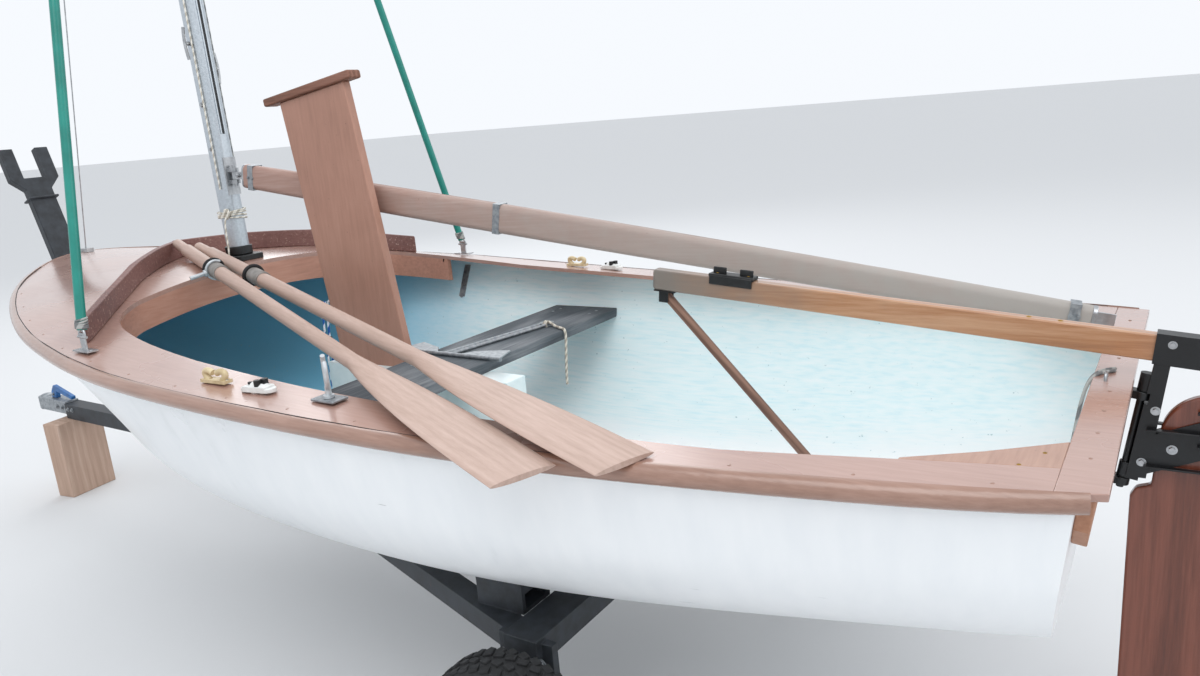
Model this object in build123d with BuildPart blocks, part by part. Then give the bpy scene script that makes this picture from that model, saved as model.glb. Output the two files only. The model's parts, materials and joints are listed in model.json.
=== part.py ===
from build123d import *
import os
from math import atan2, ceil, cos, degrees, pi, radians, sin, sqrt, tan

os.makedirs("parts", exist_ok=True)

# Small sailing dinghy with its rig, oars and rudder, parked on a light road trailer.
# Millimetres. X points to the bow, Y to port, Z up; the ground is Z = 0 and X = 0 is the wheel axis.

# Placing of the boat on the trailer
TRANSOM_BEHIND_AXLE = 885     # top outer edge of the transom, behind the wheel axis
X0 = -TRANSOM_BEHIND_AXLE

# Hull
SHELL_T = 6                   # laminate thickness
DEADRISE = 5.0                # bottom angle, degrees
BILGE_SHARE = 0.4266          # bilge radius as a share of the half breadth
TRANSOM_X = 22                # hull transom face at deck level, forward of the outer edge
TRANSOM_RAKE = 7.0            # transom leans forward at the bottom, degrees
BOW_END = 3310                # stem, ahead of the transom edge
# hull stations, from the transom edge
hull_stations = [
    # x, half_breadth, sheer_z, keel_z, chine_share
    (-80, 485, 821, 498, 0.870),
    (320, 582, 816, 446, 0.874),
    (720, 652, 817, 405, 0.878),
    (1120, 697, 825, 384, 0.878),
    (1520, 717, 840, 382, 0.833),
    (1900, 714, 859, 396, 0.753),
    (2250, 662, 882, 434, 0.654),
    (2560, 573, 907, 485, 0.591),
    (2820, 461, 931, 557, 0.546),
    (3030, 336, 952, 651, 0.503),
    (3180, 213, 968, 753, 0.480),
    (3265, 117, 978, 843, 0.469),
    (BOW_END, 39, 983, 917, 0.460),
]
# deck stations, centre line height and crown radius
deck_stations = [
    # x, centre_z, crown_radius
    (-80, 820.5, 40000),
    (500, 818.5, 34000),
    (1000, 834.0, 18000),
    (1400, 858.7, 10620),
    (1745, 884.0, 7423),
    (2050, 926.7, 4320),
    (2250, 962.6, 2779),
    (2400, 983.8, 2166),
    (2550, 980.0, 2285),
    (2700, 972.0, 2530),
    (2900, 976.0, 2357),
    (3050, 979.0, 1843),
    (3200, 980.5, 1396),
    (3420, 984.0, 1396),
]
DECK_T = 12
RAIL_T = 18                   # rub rail, out from the hull
RAIL_H = 34
CAP_OVERHANG = 10             # transom cap, behind the outer edge
CAP_W = 60                    # transom cap, fore and aft
# cockpit edge, port side
cockpit_edge = [
    # x, y
    (250, 487), (530, 545), (850, 575), (1360, 596), (1750, 585), (2050, 553), (2190, 500), (2262, 400),
]
COCKPIT_STERN_Y = 447
COCKPIT_BOW_X = 2290
FACING_T = 15
FACING_H = 72
FACING_FROM = 2040            # the facing runs round the fore end of the cockpit from here
KNEE_TIP_Y = 347
KNEE_X = 250
BOARD_T = 20                  # outer transom board
BOARD_H = 118
BOARD_HALF_W = 478

# Breakwater on the foredeck
WATER_APEX_X = 2691
WATER_H = 56
WATER_T = 18
water_ends = [
    # x, y
    (2120, 630), (2185, -560),
]

# Thwart, daggerboard and case
THWART_X = 1562
THWART_W = 236
THWART_T = 28
THWART_TOP = 712
DAGGER_LEAN = 7.7             # top forward, degrees
DAGGER_X = 1866               # centre of the board at DAGGER_REF_Z
DAGGER_REF_Z = 1000
DAGGER_W = 268
DAGGER_T = 24
DAGGER_TOP = 438              # above the reference along the board
DAGGER_LOW = 600              # below the reference along the board
DAGGER_CAP_L = 360
DAGGER_CAP_W = 44
DAGGER_CAP_T = 22
CASE_AFT_X = 1330
CASE_FORE_X = 1996
CASE_W = 74
SLOT_GAP = 4                  # board to case, each side
SLOT_AFT_X = 1625
SLOT_FORE_X = 1972
PAD_X = 1820
PAD_L = 220
PAD_H = 40

# Mast and standing rigging
MAST_X = 2375
MAST_LEAN = 1.2               # top forward, degrees
MAST_L = 4500
MAST_FA = 64
MAST_W = 56
FOOT_T = 8
HOUNDS = 3140                 # stays meet the mast, above its foot
WIRE_R = 2
HOUNDS_T = 4
HOSE_R = 11
HOSE_L = 1150
CHAIN_X = 2058
CHAIN_INSET = 40

# Boom
GOOSE_UP = 236                # gooseneck above the mast foot
GOOSE_OUT = 20                # vertical pin behind the mast
BOOM_L = 2243
BOOM_FORE_H = 70
BOOM_MID_H = 76
BOOM_MID = 0.4                # deepest section, as a share of the length
BOOM_AFT_H = 48
BOOM_W = 38
BOOM_YAW = 6.9                # to starboard of straight aft
BOOM_DROP = 9.5               # aft end down

# Rudder
HINGE_X = -12                 # pintle axis behind the transom edge, at HINGE_Z
HINGE_Z = 720
HINGE_RAKE = 8.0              # top of the pintle axis leans aft, degrees
GUDGEON_UP = 61               # along the axis from HINGE_Z
GUDGEON_LOW = -97
GUDGEON_H = 14
PIN_R = 6
PIN_GAP = 0.3
LUG_GAP = 0.4
CHEEK_T = 3
LUG_R = 9
LUG_UP_H = 32
LUG_LOW_H = 28
NOTCH_R = 18                  # clearance round the upper gudgeon
BLADE_T = 20
BLADE_SIDE_GAP = 1.0
BLADE_PIVOT_X = -128
BLADE_PIVOT_Z = 720
BLADE_HEAD_R = 77
BLADE_AFT_X = -210
BLADE_FORE_X = -14
BLADE_TIP_Z = 104
BLADE_BOLT_R = 6
TILLER_SLOPE = 5.2
TILLER_Z = 874                # tiller centre at the pintle axis
TILLER_W = 25
TILLER_H = 45
TILLER_AFT = -154             # along the tiller, from the pintle axis
TILLER_FORE = 922
SOCKET_T = 3.5
SOCKET_GAP = 0.3
EXT_AT = 892                  # extension pivot along the tiller
EXT_DROP = 34                 # pivot below the tiller centre
EXT_L = 545
EXT_R = 10
EXT_SLOPE = 47.0              # hangs aft and down, degrees

# Oars
OAR_R = 20
OAR_GRIP_R = 16
OAR_GRIP_L = 120
OAR_L = 2040
OAR_BLADE_L = 620
OAR_BLADE_W = 114
OAR_BLADE_T = 12
oars = [
    # name, grip_x, grip_y, grip_z, tip_x, tip_y, tip_z, roll
    ("oar_near", 2612, 50, 1023.8, 720, 736, 812.5, 0),
    ("oar_far", 2510, 44, 1013.6, 594, 656, 820.7, 0),
]

# Trailer
WHEEL_R = 200
TYRE_W = 100
RIM_R = 103
WHEEL_Y = 640
AXLE_R = 14
TONGUE_TOP = 365
TONGUE_SIZE = 60
TONGUE_FORE = 3655
AXLE_X = 945
AXLE_W = 80
AXLE_H = 55
AXLE_HALF = 535
RAIL_JOIN_X = 2450
RAIL_OUT_Y = 500
RAIL_W = 50
RAIL_DEEP = 50
POST_X = 3220                 # foot of the post on the tongue
POST_LEAN = 20.1              # top forward, degrees
POST_L = 905                  # along the post to the fork
POST_W = 90
POST_D = 32
FORK_L = 155
FORK_HALF_W = 85
FORK_HALF_GAP = 38
ROLLER_X = 2760
ROLLER_R = 28
ROLLER_L = 90
COUPLER_L = 230
BLOCK_L = 88
BLOCK_W = 190
BLOCK_X = 3650
BLOCK_Y = 15
BLOCK_TURN = 9


def bx(value):
    return X0 + value


def station_plane(x):
    return Plane(origin=(bx(x), 0, 0), x_dir=(0, 1, 0), z_dir=(1, 0, 0))


def hull_points(half, sheer, keel, share):
    """Half section: sheer point, bilge arc start, middle and end, keel point."""
    chine_y = share * half
    chine_z = keel + chine_y * tan(radians(DEADRISE))
    up = Vector(half - chine_y, sheer - chine_z)
    down = Vector(-chine_y, keel - chine_z)
    up_n, down_n = up.normalized(), down.normalized()
    turn = radians(up.get_angle(down))
    reach = min(BILGE_SHARE * half / tan(turn / 2), 0.9 * up.length, 0.9 * down.length)
    radius = reach * tan(turn / 2)
    chine = Vector(chine_y, chine_z)
    middle = (up_n + down_n).normalized()
    centre = chine + middle * (radius / sin(turn / 2))
    start, end = chine + up_n * reach, chine + down_n * reach
    mid = centre - middle * radius
    return Vector(half, sheer), start, mid, end, Vector(0, keel)


def hull_section(x, half, sheer, keel, share, grow, above=150):
    """Closed section at one station, grown outward by grow, carried up above the sheer."""
    half, keel = half + grow, keel - grow
    top, start, mid, end, low = hull_points(half, sheer, keel, share)
    with BuildSketch(station_plane(x)) as section:
        with BuildLine():
            Line((top.X, sheer + above), (top.X, top.Y))
            Line((top.X, top.Y), (start.X, start.Y))
            ThreePointArc((start.X, start.Y), (mid.X, mid.Y), (end.X, end.Y))
            Line((end.X, end.Y), (low.X, low.Y))
            Line((low.X, low.Y), (-end.X, end.Y))
            ThreePointArc((-end.X, end.Y), (-mid.X, mid.Y), (-start.X, start.Y))
            Line((-start.X, start.Y), (-top.X, top.Y))
            Line((-top.X, top.Y), (-top.X, sheer + above))
            Line((-top.X, sheer + above), (top.X, sheer + above))
        make_face()
    return section.sketch


def hull_form(grow, ends=0):
    """Solid hull form grown by grow; its bow is moved by ends."""
    sections = []
    for x, half, sheer, keel, share in hull_stations:
        forward = ends if x > 2500 else 0
        sections.append(hull_section(x + forward, half, sheer, keel, share, grow))
    return loft(sections=sections, mode=Mode.PRIVATE)


def deck_band(low, high):
    """Crowned slab between two heights measured from the deck surface."""
    sections = []
    reach = 800
    for x, centre, radius in deck_stations:
        fall = radius - sqrt(radius**2 - reach**2)
        with BuildSketch(station_plane(x)) as section:
            with BuildLine():
                ThreePointArc((-reach, centre - fall + high), (0, centre + high), (reach, centre - fall + high))
                Line((reach, centre - fall + high), (reach, centre - fall + low))
                ThreePointArc((reach, centre - fall + low), (0, centre + low), (-reach, centre - fall + low))
                Line((-reach, centre - fall + low), (-reach, centre - fall + high))
            make_face()
        sections.append(section.sketch)
    return loft(sections=sections, ruled=True, mode=Mode.PRIVATE)


transom_plane = Plane(
    origin=(bx(TRANSOM_X), 0, hull_stations[0][2]),
    x_dir=(0, 1, 0),
    z_dir=(-cos(radians(TRANSOM_RAKE)), 0, -sin(radians(TRANSOM_RAKE))),
)

full_form = hull_form(0)
full_inner = hull_form(-SHELL_T, -SHELL_T)
full_rail = hull_form(RAIL_T, RAIL_T)
deck_solid = deck_band(-DECK_T, 0)


def top_z(solid, x, y):
    """Highest point of a solid over one place."""
    probe = Edge.make_line((x, y, 0), (x, y, 3000))
    hits = solid.intersect(probe)
    return max(v.Z for part in (hits if isinstance(hits, (list, ShapeList)) else [hits]) for v in part.vertices())


def low_z(solid, x, y):
    """Lowest point of a solid over one place."""
    probe = Edge.make_line((x, y, 0), (x, y, 3000))
    hits = solid.intersect(probe)
    return min(v.Z for part in (hits if isinstance(hits, (list, ShapeList)) else [hits]) for v in part.vertices())


def deck_z(x, y):
    return top_z(deck_solid, bx(x), y)


def seat_z(x, y, half_x, half_y):
    """Height at which a flat base of this size just rests on the deck."""
    return max(deck_z(x + i * half_x, y + j * half_y) for i in (-1, 1) for j in (-1, 1))


def bottom_z(x, y):
    return low_z(full_form, bx(x), y)


def save(piece, name):
    piece.part.label = name
    export_step(piece.part, f"parts/{name}.step")


# Cockpit opening, in plan
def opening_sketch(grow=0.0):
    """Plan of the cockpit; grow moves its sides and fore end outward."""
    port = [(bx(CAP_W - CAP_OVERHANG), COCKPIT_STERN_Y + grow)]
    for x, y in cockpit_edge:
        forward = grow * max(0.0, min(1.0, (x - 1750) / 500))
        port.append((bx(x) + forward, y + grow))
    starboard = [(x, -y) for x, y in reversed(port)]
    with BuildSketch() as plan:
        with BuildLine():
            Spline(*port)
            ThreePointArc(port[-1], (bx(COCKPIT_BOW_X) + grow, 0), starboard[0])
            Spline(*starboard)
            Line(starboard[-1], port[0])
        make_face()
    return plan.sketch


opening = extrude(opening_sketch(), amount=1500, mode=Mode.PRIVATE)
opening_out = extrude(opening_sketch(FACING_T), amount=1500, mode=Mode.PRIVATE)

# Hull shell with the daggerboard slot
with BuildPart() as hull_shell:
    add(full_form)
    split(bisect_by=transom_plane, keep=Keep.BOTTOM)
    add(deck_band(-DECK_T, 500), mode=Mode.SUBTRACT)
    with BuildPart(mode=Mode.PRIVATE) as hollow:
        add(full_inner)
        split(bisect_by=transom_plane.offset(-SHELL_T), keep=Keep.BOTTOM)
    add(hollow.part, mode=Mode.SUBTRACT)
    with Locations((bx((SLOT_AFT_X + SLOT_FORE_X) / 2), 0, 400)):
        Box(SLOT_FORE_X - SLOT_AFT_X, DAGGER_T + 2 * SLOT_GAP, 200, mode=Mode.SUBTRACT)
save(hull_shell, "hull_shell")

with BuildPart() as hull_cut:
    add(full_form)
    split(bisect_by=transom_plane, keep=Keep.BOTTOM)

with BuildPart() as deck_ring:
    add(deck_solid)
    add(hull_cut.part, mode=Mode.INTERSECT)
    add(opening, mode=Mode.SUBTRACT)

# Deck panels
with BuildPart() as foredeck:
    add(deck_ring.part)
    with Locations((bx(FACING_FROM), 0, 0)):
        Box(2000, 2000, 3000, align=(Align.MIN, Align.CENTER, Align.CENTER), mode=Mode.INTERSECT)
save(foredeck, "foredeck")

for side, name in ((1, "side_deck_port"), (-1, "side_deck_starboard")):
    with BuildPart() as side_deck:
        add(deck_ring.part)
        with Locations((bx(CAP_W - CAP_OVERHANG), 0, 0)):
            Box(
                FACING_FROM - CAP_W + CAP_OVERHANG, 1000, 3000,
                align=(Align.MIN, Align.MIN if side > 0 else Align.MAX, Align.CENTER),
                mode=Mode.INTERSECT,
            )
    save(side_deck, name)

with BuildPart() as transom_cap:
    add(deck_solid)
    add(full_form, mode=Mode.INTERSECT)
    with Locations((bx(-CAP_OVERHANG), 0, 0)):
        Box(CAP_W, 2000, 3000, align=(Align.MIN, Align.CENTER, Align.CENTER), mode=Mode.INTERSECT)
save(transom_cap, "transom_cap")

with BuildPart() as transom_board:
    with BuildSketch(transom_plane):
        with BuildLine():
            Polyline(
                (-BOARD_HALF_W, DECK_T + 4), (BOARD_HALF_W, DECK_T + 4), (BOARD_HALF_W - 8, BOARD_H - 40),
                (BOARD_HALF_W - 50, BOARD_H), (-BOARD_HALF_W + 50, BOARD_H), (-BOARD_HALF_W + 8, BOARD_H - 40),
                close=True,
            )
        make_face()
    extrude(amount=BOARD_T)
save(transom_board, "transom_board")

knee_points = [
    # x, y
    (CAP_W - CAP_OVERHANG, KNEE_TIP_Y), (CAP_W - CAP_OVERHANG, 520), (KNEE_X, 560), (KNEE_X, 480), (150, 420),
]
for side, name in ((1, "quarter_knee_port"), (-1, "quarter_knee_starboard")):
    with BuildPart() as knee:
        with BuildSketch():
            with BuildLine():
                Polyline(*[(bx(x), side * y) for x, y in knee_points], close=True)
            make_face()
        extrude(amount=1500)
        add(opening, mode=Mode.INTERSECT)
        add(deck_solid, mode=Mode.INTERSECT)
    save(knee, name)

# Rub rails, each lofted along its side of the hull with square-on sections
rail_stations = [row for row in hull_stations if row[0] > 0]
stern_row = hull_stations[0]
share_in = (0 - stern_row[0]) / (rail_stations[0][0] - stern_row[0])
rail_path = [(12, stern_row[1] + (rail_stations[0][1] - stern_row[1]) * share_in + 3, deck_stations[0][1])]
rail_path += [(x, half, sheer) for x, half, sheer, keel, share in rail_stations[:-1]]
rail_path += [(BOW_END, 0, rail_stations[-1][2])]
for side, name in ((1, "rub_rail_port"), (-1, "rub_rail_starboard")):
    with BuildPart() as rail:
        for index, (x, half, sheer) in enumerate(rail_path):
            before = rail_path[max(index - 1, 0)]
            after = rail_path[min(index + 1, len(rail_path) - 1)]
            run = Vector(after[0] - before[0], after[1] - before[1])
            if index == len(rail_path) - 1:
                run = Vector(0, -1)
            out = Vector(-run.Y, run.X).normalized()
            plane = Plane(origin=(bx(x), side * half, sheer), x_dir=(out.X, side * out.Y, 0),
                          z_dir=(run.normalized().X * side, run.normalized().Y, 0))
            up = 1 if plane.y_dir.Z > 0 else -1
            with BuildSketch(plane):
                with BuildLine():
                    Line((0, 0), (0, -up * RAIL_H))
                    ThreePointArc((0, -up * RAIL_H), (RAIL_T, -up * RAIL_H / 2), (0, 0))
                make_face()
        loft()
        add(full_form, mode=Mode.SUBTRACT)
    save(rail, name)

with BuildPart() as deck_facing:
    add(opening_out)
    add(opening, mode=Mode.SUBTRACT)
    with Locations((bx(FACING_FROM), 0, 0)):
        Box(2000, 2000, 3000, align=(Align.MIN, Align.CENTER, Align.CENTER), mode=Mode.INTERSECT)
    add(deck_band(-DECK_T - FACING_H, -DECK_T), mode=Mode.INTERSECT)
save(deck_facing, "deck_facing")

# Breakwater boards meeting in a V
with BuildPart() as breakwater:
    for end_x, end_y in water_ends:
        run = Vector(end_x - WATER_APEX_X, end_y)
        with BuildSketch(Plane(origin=(bx(WATER_APEX_X), 0, 0), x_dir=run, z_dir=(0, 0, 1))):
            with Locations((-WATER_T, 0)):
                Rectangle(run.length + WATER_T, WATER_T, align=(Align.MIN, Align.CENTER))
        extrude(amount=1500)
    add(deck_band(0.0, WATER_H), mode=Mode.INTERSECT)
save(breakwater, "breakwater")

# Thwart across the hull
with BuildPart() as thwart:
    with Locations((bx(THWART_X), 0, THWART_TOP)):
        Box(THWART_W, 1600, THWART_T, align=(Align.CENTER, Align.CENTER, Align.MAX))
    add(full_inner, mode=Mode.INTERSECT)
save(thwart, "thwart")

# Daggerboard case from the hull bottom up to the thwart
case_low = 300
case_top = THWART_TOP - THWART_T
with BuildPart() as daggerboard_case:
    with Locations((bx(CASE_AFT_X), 0, case_low)):
        Box(CASE_FORE_X - CASE_AFT_X, CASE_W, case_top - case_low, align=(Align.MIN, Align.CENTER, Align.MIN))
    add(full_inner, mode=Mode.INTERSECT)
    with Locations((bx(SLOT_AFT_X), 0, case_low)):
        Box(SLOT_FORE_X - SLOT_AFT_X, DAGGER_T + 2 * SLOT_GAP, 1000,
            align=(Align.MIN, Align.CENTER, Align.MIN), mode=Mode.SUBTRACT)
    # friction pads that hold the board where it is put
    for side in (-1, 1):
        with Locations((bx(PAD_X), side * (DAGGER_T + SLOT_GAP) / 2, case_top)):
            Box(PAD_L, SLOT_GAP, PAD_H, align=(Align.CENTER, Align.CENTER, Align.MAX))
save(daggerboard_case, "daggerboard_case")

dagger_plane = Plane(
    origin=(bx(DAGGER_X), -DAGGER_T / 2, DAGGER_REF_Z),
    x_dir=(cos(radians(DAGGER_LEAN)), 0, -sin(radians(DAGGER_LEAN))),
    z_dir=(0, 1, 0),
)
# on this plane local +Y points down the board
with BuildPart() as daggerboard:
    with BuildSketch(dagger_plane):
        with Locations((0, (DAGGER_LOW - DAGGER_TOP) / 2)):
            Rectangle(DAGGER_W, DAGGER_LOW + DAGGER_TOP)
    extrude(amount=DAGGER_T)
    fillet(daggerboard.edges().filter_by(Axis.Y).group_by(Axis.Z)[0], 25)
save(daggerboard, "daggerboard")

with BuildPart() as daggerboard_cap:
    with BuildSketch(dagger_plane.offset(DAGGER_T / 2 - DAGGER_CAP_W / 2)):
        with Locations((10, -DAGGER_TOP - DAGGER_CAP_T / 2)):
            RectangleRounded(DAGGER_CAP_L, DAGGER_CAP_T, 6)
    extrude(amount=DAGGER_CAP_W)
save(daggerboard_cap, "daggerboard_cap")

# Mast, its foot and the gooseneck
mast_base_z = deck_z(MAST_X, 0) + FOOT_T
mast_plane = Plane(
    origin=(bx(MAST_X), 0, mast_base_z),
    x_dir=(cos(radians(MAST_LEAN)), 0, -sin(radians(MAST_LEAN))),
    z_dir=(sin(radians(MAST_LEAN)), 0, cos(radians(MAST_LEAN))),
)


def on_mast(x, y, z):
    p = mast_plane.from_local_coords(Vector(x, y, z))
    return p


with BuildPart() as mast:
    with BuildSketch(mast_plane.offset(0.8)):
        RectangleRounded(MAST_FA, MAST_W, 22)
    extrude(amount=MAST_L)
    # band where the stays meet
    with BuildSketch(mast_plane.offset(HOUNDS - 12)):
        RectangleRounded(MAST_FA + 2 * HOUNDS_T, MAST_W + 2 * HOUNDS_T, 22 + HOUNDS_T)
    extrude(amount=24)
save(mast, "mast")

with BuildPart() as mast_foot:
    with BuildSketch(Plane.XY.offset(mast_base_z - 60)):
        with Locations((bx(MAST_X), 0)):
            RectangleRounded(120, 96, 18)
    extrude(amount=60)
    add(deck_band(-400, 0), mode=Mode.SUBTRACT)
    with BuildSketch(mast_plane):
        with Locations((0, 0)):
            RectangleRounded(MAST_FA + 12, MAST_W + 12, 26)
            RectangleRounded(MAST_FA + 0.6, MAST_W + 0.6, 22.3, mode=Mode.SUBTRACT)
    extrude(amount=26)
save(mast_foot, "mast_foot")

goose_pin = on_mast(-MAST_FA / 2 - GOOSE_OUT, 0, GOOSE_UP)
SWIVEL_H = 22
TAB_R = 12
with BuildPart() as gooseneck_bracket:
    with BuildSketch(Plane.XY.offset(goose_pin.Z - SWIVEL_H / 2 - 12)):
        with Locations((goose_pin.X, 0)):
            Rectangle(GOOSE_OUT + 4, 2 * TAB_R, align=(Align.MIN, Align.CENTER))
            Circle(TAB_R)
    extrude(amount=11.6)
    with BuildSketch(Plane.XY.offset(goose_pin.Z + SWIVEL_H / 2 + 0.4)):
        with Locations((goose_pin.X, 0)):
            Rectangle(GOOSE_OUT + 4, 2 * TAB_R, align=(Align.MIN, Align.CENTER))
            Circle(TAB_R)
    extrude(amount=11.6)
    with Locations((goose_pin.X + GOOSE_OUT, 0, goose_pin.Z)):
        Box(5, 40, 110, align=(Align.MAX, Align.CENTER, Align.CENTER))
    with Locations((goose_pin.X, 0, goose_pin.Z)):
        Cylinder(PIN_R, SWIVEL_H + 40)
    add(mast.part, mode=Mode.SUBTRACT)
save(gooseneck_bracket, "gooseneck_bracket")

boom_dir = Vector(-cos(radians(BOOM_YAW)), -sin(radians(BOOM_YAW)), 0)
boom_side = Vector(-sin(radians(BOOM_YAW)), cos(radians(BOOM_YAW)), 0)
LIFT_OUT = 28                 # horizontal pin behind the vertical pin
lift_pin = goose_pin + boom_dir * LIFT_OUT
swivel_plane = Plane(origin=goose_pin, x_dir=boom_dir, z_dir=(0, 0, 1))
with BuildPart() as gooseneck_swivel:
    with BuildSketch(swivel_plane.offset(-SWIVEL_H / 2)):
        Circle(10)
        Rectangle(LIFT_OUT + 6, 16, align=(Align.MIN, Align.CENTER))
        Circle(PIN_R + PIN_GAP, mode=Mode.SUBTRACT)
    extrude(amount=SWIVEL_H)
    with BuildSketch(Plane(origin=lift_pin - boom_side * 22, x_dir=boom_dir, z_dir=boom_side)):
        Circle(5)
    extrude(amount=44)
save(gooseneck_swivel, "gooseneck_swivel")

drop = radians(BOOM_DROP)
boom_axis = boom_dir * cos(drop) - Vector(0, 0, 1) * sin(drop)
boom_up = boom_dir * sin(drop) + Vector(0, 0, 1) * cos(drop)
# sections of the boom stand square to its axis: local X across, local Y up
BOOM_START = 24


def boom_plane(along):
    return Plane(origin=lift_pin + boom_axis * along, x_dir=boom_axis.cross(boom_up) * -1, z_dir=boom_axis)


with BuildPart() as boom:
    with BuildSketch(boom_plane(BOOM_START)):
        RectangleRounded(BOOM_W, BOOM_FORE_H, 16)
    with BuildSketch(boom_plane(BOOM_START + BOOM_L * BOOM_MID)):
        RectangleRounded(BOOM_W, BOOM_MID_H, 16)
    with BuildSketch(boom_plane(BOOM_START + BOOM_L)):
        RectangleRounded(BOOM_W - 4, BOOM_AFT_H, 16)
    loft()
save(boom, "boom")

with BuildPart() as boom_fork:
    for side in (-1, 1):
        with BuildSketch(Plane(origin=lift_pin + boom_side * (side * 8.5), x_dir=boom_axis,
                               z_dir=boom_side * side)):
            Circle(10)
            Rectangle(BOOM_START, 20, align=(Align.MIN, Align.CENTER))
            Circle(5 + PIN_GAP, mode=Mode.SUBTRACT)
        extrude(amount=4)
    with BuildSketch(boom_plane(BOOM_START - 6)):
        RectangleRounded(BOOM_W, BOOM_FORE_H, 16)
    extrude(amount=6)
save(boom_fork, "boom_fork")

with BuildPart() as boom_end_fitting:
    with BuildSketch(boom_plane(BOOM_START + BOOM_L)):
        RectangleRounded(BOOM_W - 4, BOOM_AFT_H, 16)
    extrude(amount=8)
    with BuildSketch(boom_plane(BOOM_START + BOOM_L + 8)):
        Rectangle(4, 26)
    extrude(amount=34)
save(boom_end_fitting, "boom_end_fitting")

# Chainplates, shrouds with hose covers, forestay
for side, tag in ((1, "port"), (-1, "starboard")):
    chain_y = side * (full_form.bounding_box().max.Y - 18 - CHAIN_INSET)
    deck_here = seat_z(CHAIN_X, chain_y, 30, 12)
    eye = Vector(bx(CHAIN_X), chain_y, deck_here + 34)
    hound = on_mast(0, side * (MAST_W / 2 + HOUNDS_T + WIRE_R + 0.3), HOUNDS)
    run = hound - eye
    along = run.normalized()
    with BuildPart() as chainplate:
        with BuildSketch(Plane(origin=(bx(CHAIN_X), chain_y - 2, 0), x_dir=(1, 0, 0), z_dir=(0, 1, 0))):
            with Locations((0, -(deck_here + 22))):
                Rectangle(22, 44)
        extrude(amount=4)
        with Locations((bx(CHAIN_X), chain_y, deck_here + 1.5)):
            Box(60, 24, 3)
        with Locations((bx(CHAIN_X), chain_y, deck_here + 34)):
            Cylinder(4, 8, rotation=(90, 0, 0), mode=Mode.SUBTRACT)
    save(chainplate, f"chainplate_{tag}")
    with BuildPart() as shroud:
        with BuildSketch(Plane(origin=eye + along * 12, z_dir=along)):
            Circle(WIRE_R)
        extrude(amount=run.length - 12)
    save(shroud, f"shroud_{tag}")
    with BuildPart() as hose:
        with BuildSketch(Plane(origin=eye + along * 16, z_dir=along)):
            Circle(HOSE_R)
            Circle(WIRE_R + 0.3, mode=Mode.SUBTRACT)
        extrude(amount=HOSE_L)
    save(hose, f"hose_{tag}")

stem_eye = Vector(bx(BOW_END - 30), 0, seat_z(BOW_END - 34, 0, 25, 0) + 12)
fore_hound = on_mast(MAST_FA / 2 + HOUNDS_T + WIRE_R + 1, 0, HOUNDS)
with BuildPart() as forestay:
    with BuildSketch(Plane(origin=stem_eye, z_dir=(fore_hound - stem_eye).normalized())):
        Circle(WIRE_R)
    extrude(amount=(fore_hound - stem_eye).length)
    with Locations((bx(BOW_END - 34), 0, stem_eye.Z - 12)):
        Box(50, 26, 13, align=(Align.CENTER, Align.CENTER, Align.MIN))
save(forestay, "forestay")

# Deck fittings
fittings = [
    # kind, tag, x, y, turn
    ("fairlead", "port", 1572, 655, 4), ("fairlead", "starboard", 1572, -655, -4),
    ("jam_cleat", "port", 1440, 652, 8), ("jam_cleat", "starboard", 1440, -652, -8),
]
for kind, tag, x, y, turn in fittings:
    base = seat_z(x, y, 36, 12)
    with BuildPart() as fitting:
        with BuildSketch(Plane(origin=(bx(x), y, base),
                               x_dir=(cos(radians(turn)), sin(radians(turn)), 0), z_dir=(0, 0, 1))):
            if kind == "fairlead":
                RectangleRounded(76, 24, 11.5)
            else:
                RectangleRounded(84, 30, 14.5)
        extrude(amount=22 if kind == "fairlead" else 26)
        with Locations((bx(x), y, base + 10)):
            Cylinder(5.5, 60, rotation=(90, 0, 0), mode=Mode.SUBTRACT)
    save(fitting, f"{kind}_{tag}")

# Rowlock: plate with a socket on the port side deck, horn turning in it
LOCK_X = 1263
LOCK_Y = 628
LOCK_PIN_R = 6
lock_z = seat_z(LOCK_X, LOCK_Y, 32, 20)
with BuildPart() as rowlock_plate:
    with BuildSketch(Plane.XY.offset(lock_z)):
        with Locations((bx(LOCK_X), LOCK_Y)):
            RectangleRounded(64, 40, 4)
            Circle(LOCK_PIN_R + PIN_GAP, mode=Mode.SUBTRACT)
    extrude(amount=4)
save(rowlock_plate, "rowlock_plate")


def horn(origin_plane):
    """Open horn on a pin, standing on its plane."""
    with BuildPart() as made:
        with BuildSketch(origin_plane.offset(LUG_GAP)):
            Circle(12)
        extrude(amount=16)
        with BuildSketch(origin_plane.offset(LUG_GAP)):
            Circle(LOCK_PIN_R)
        extrude(amount=-4)
        arms = Plane(origin=origin_plane.origin, x_dir=origin_plane.x_dir,
                     z_dir=origin_plane.x_dir.cross(origin_plane.z_dir))
        with BuildSketch(arms.offset(-6)):
            with Locations((0, 52)):
                Circle(38)
                Circle(28, mode=Mode.SUBTRACT)
            with Locations((0, 92)):
                Rectangle(44, 60, mode=Mode.SUBTRACT)
        extrude(amount=12)
    return made


horn_plane = Plane(origin=(bx(LOCK_X), LOCK_Y, lock_z + 4), x_dir=(0.8, -0.6, 0), z_dir=(0, 0, 1))
rowlock = horn(horn_plane)
save(rowlock, "rowlock")

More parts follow.
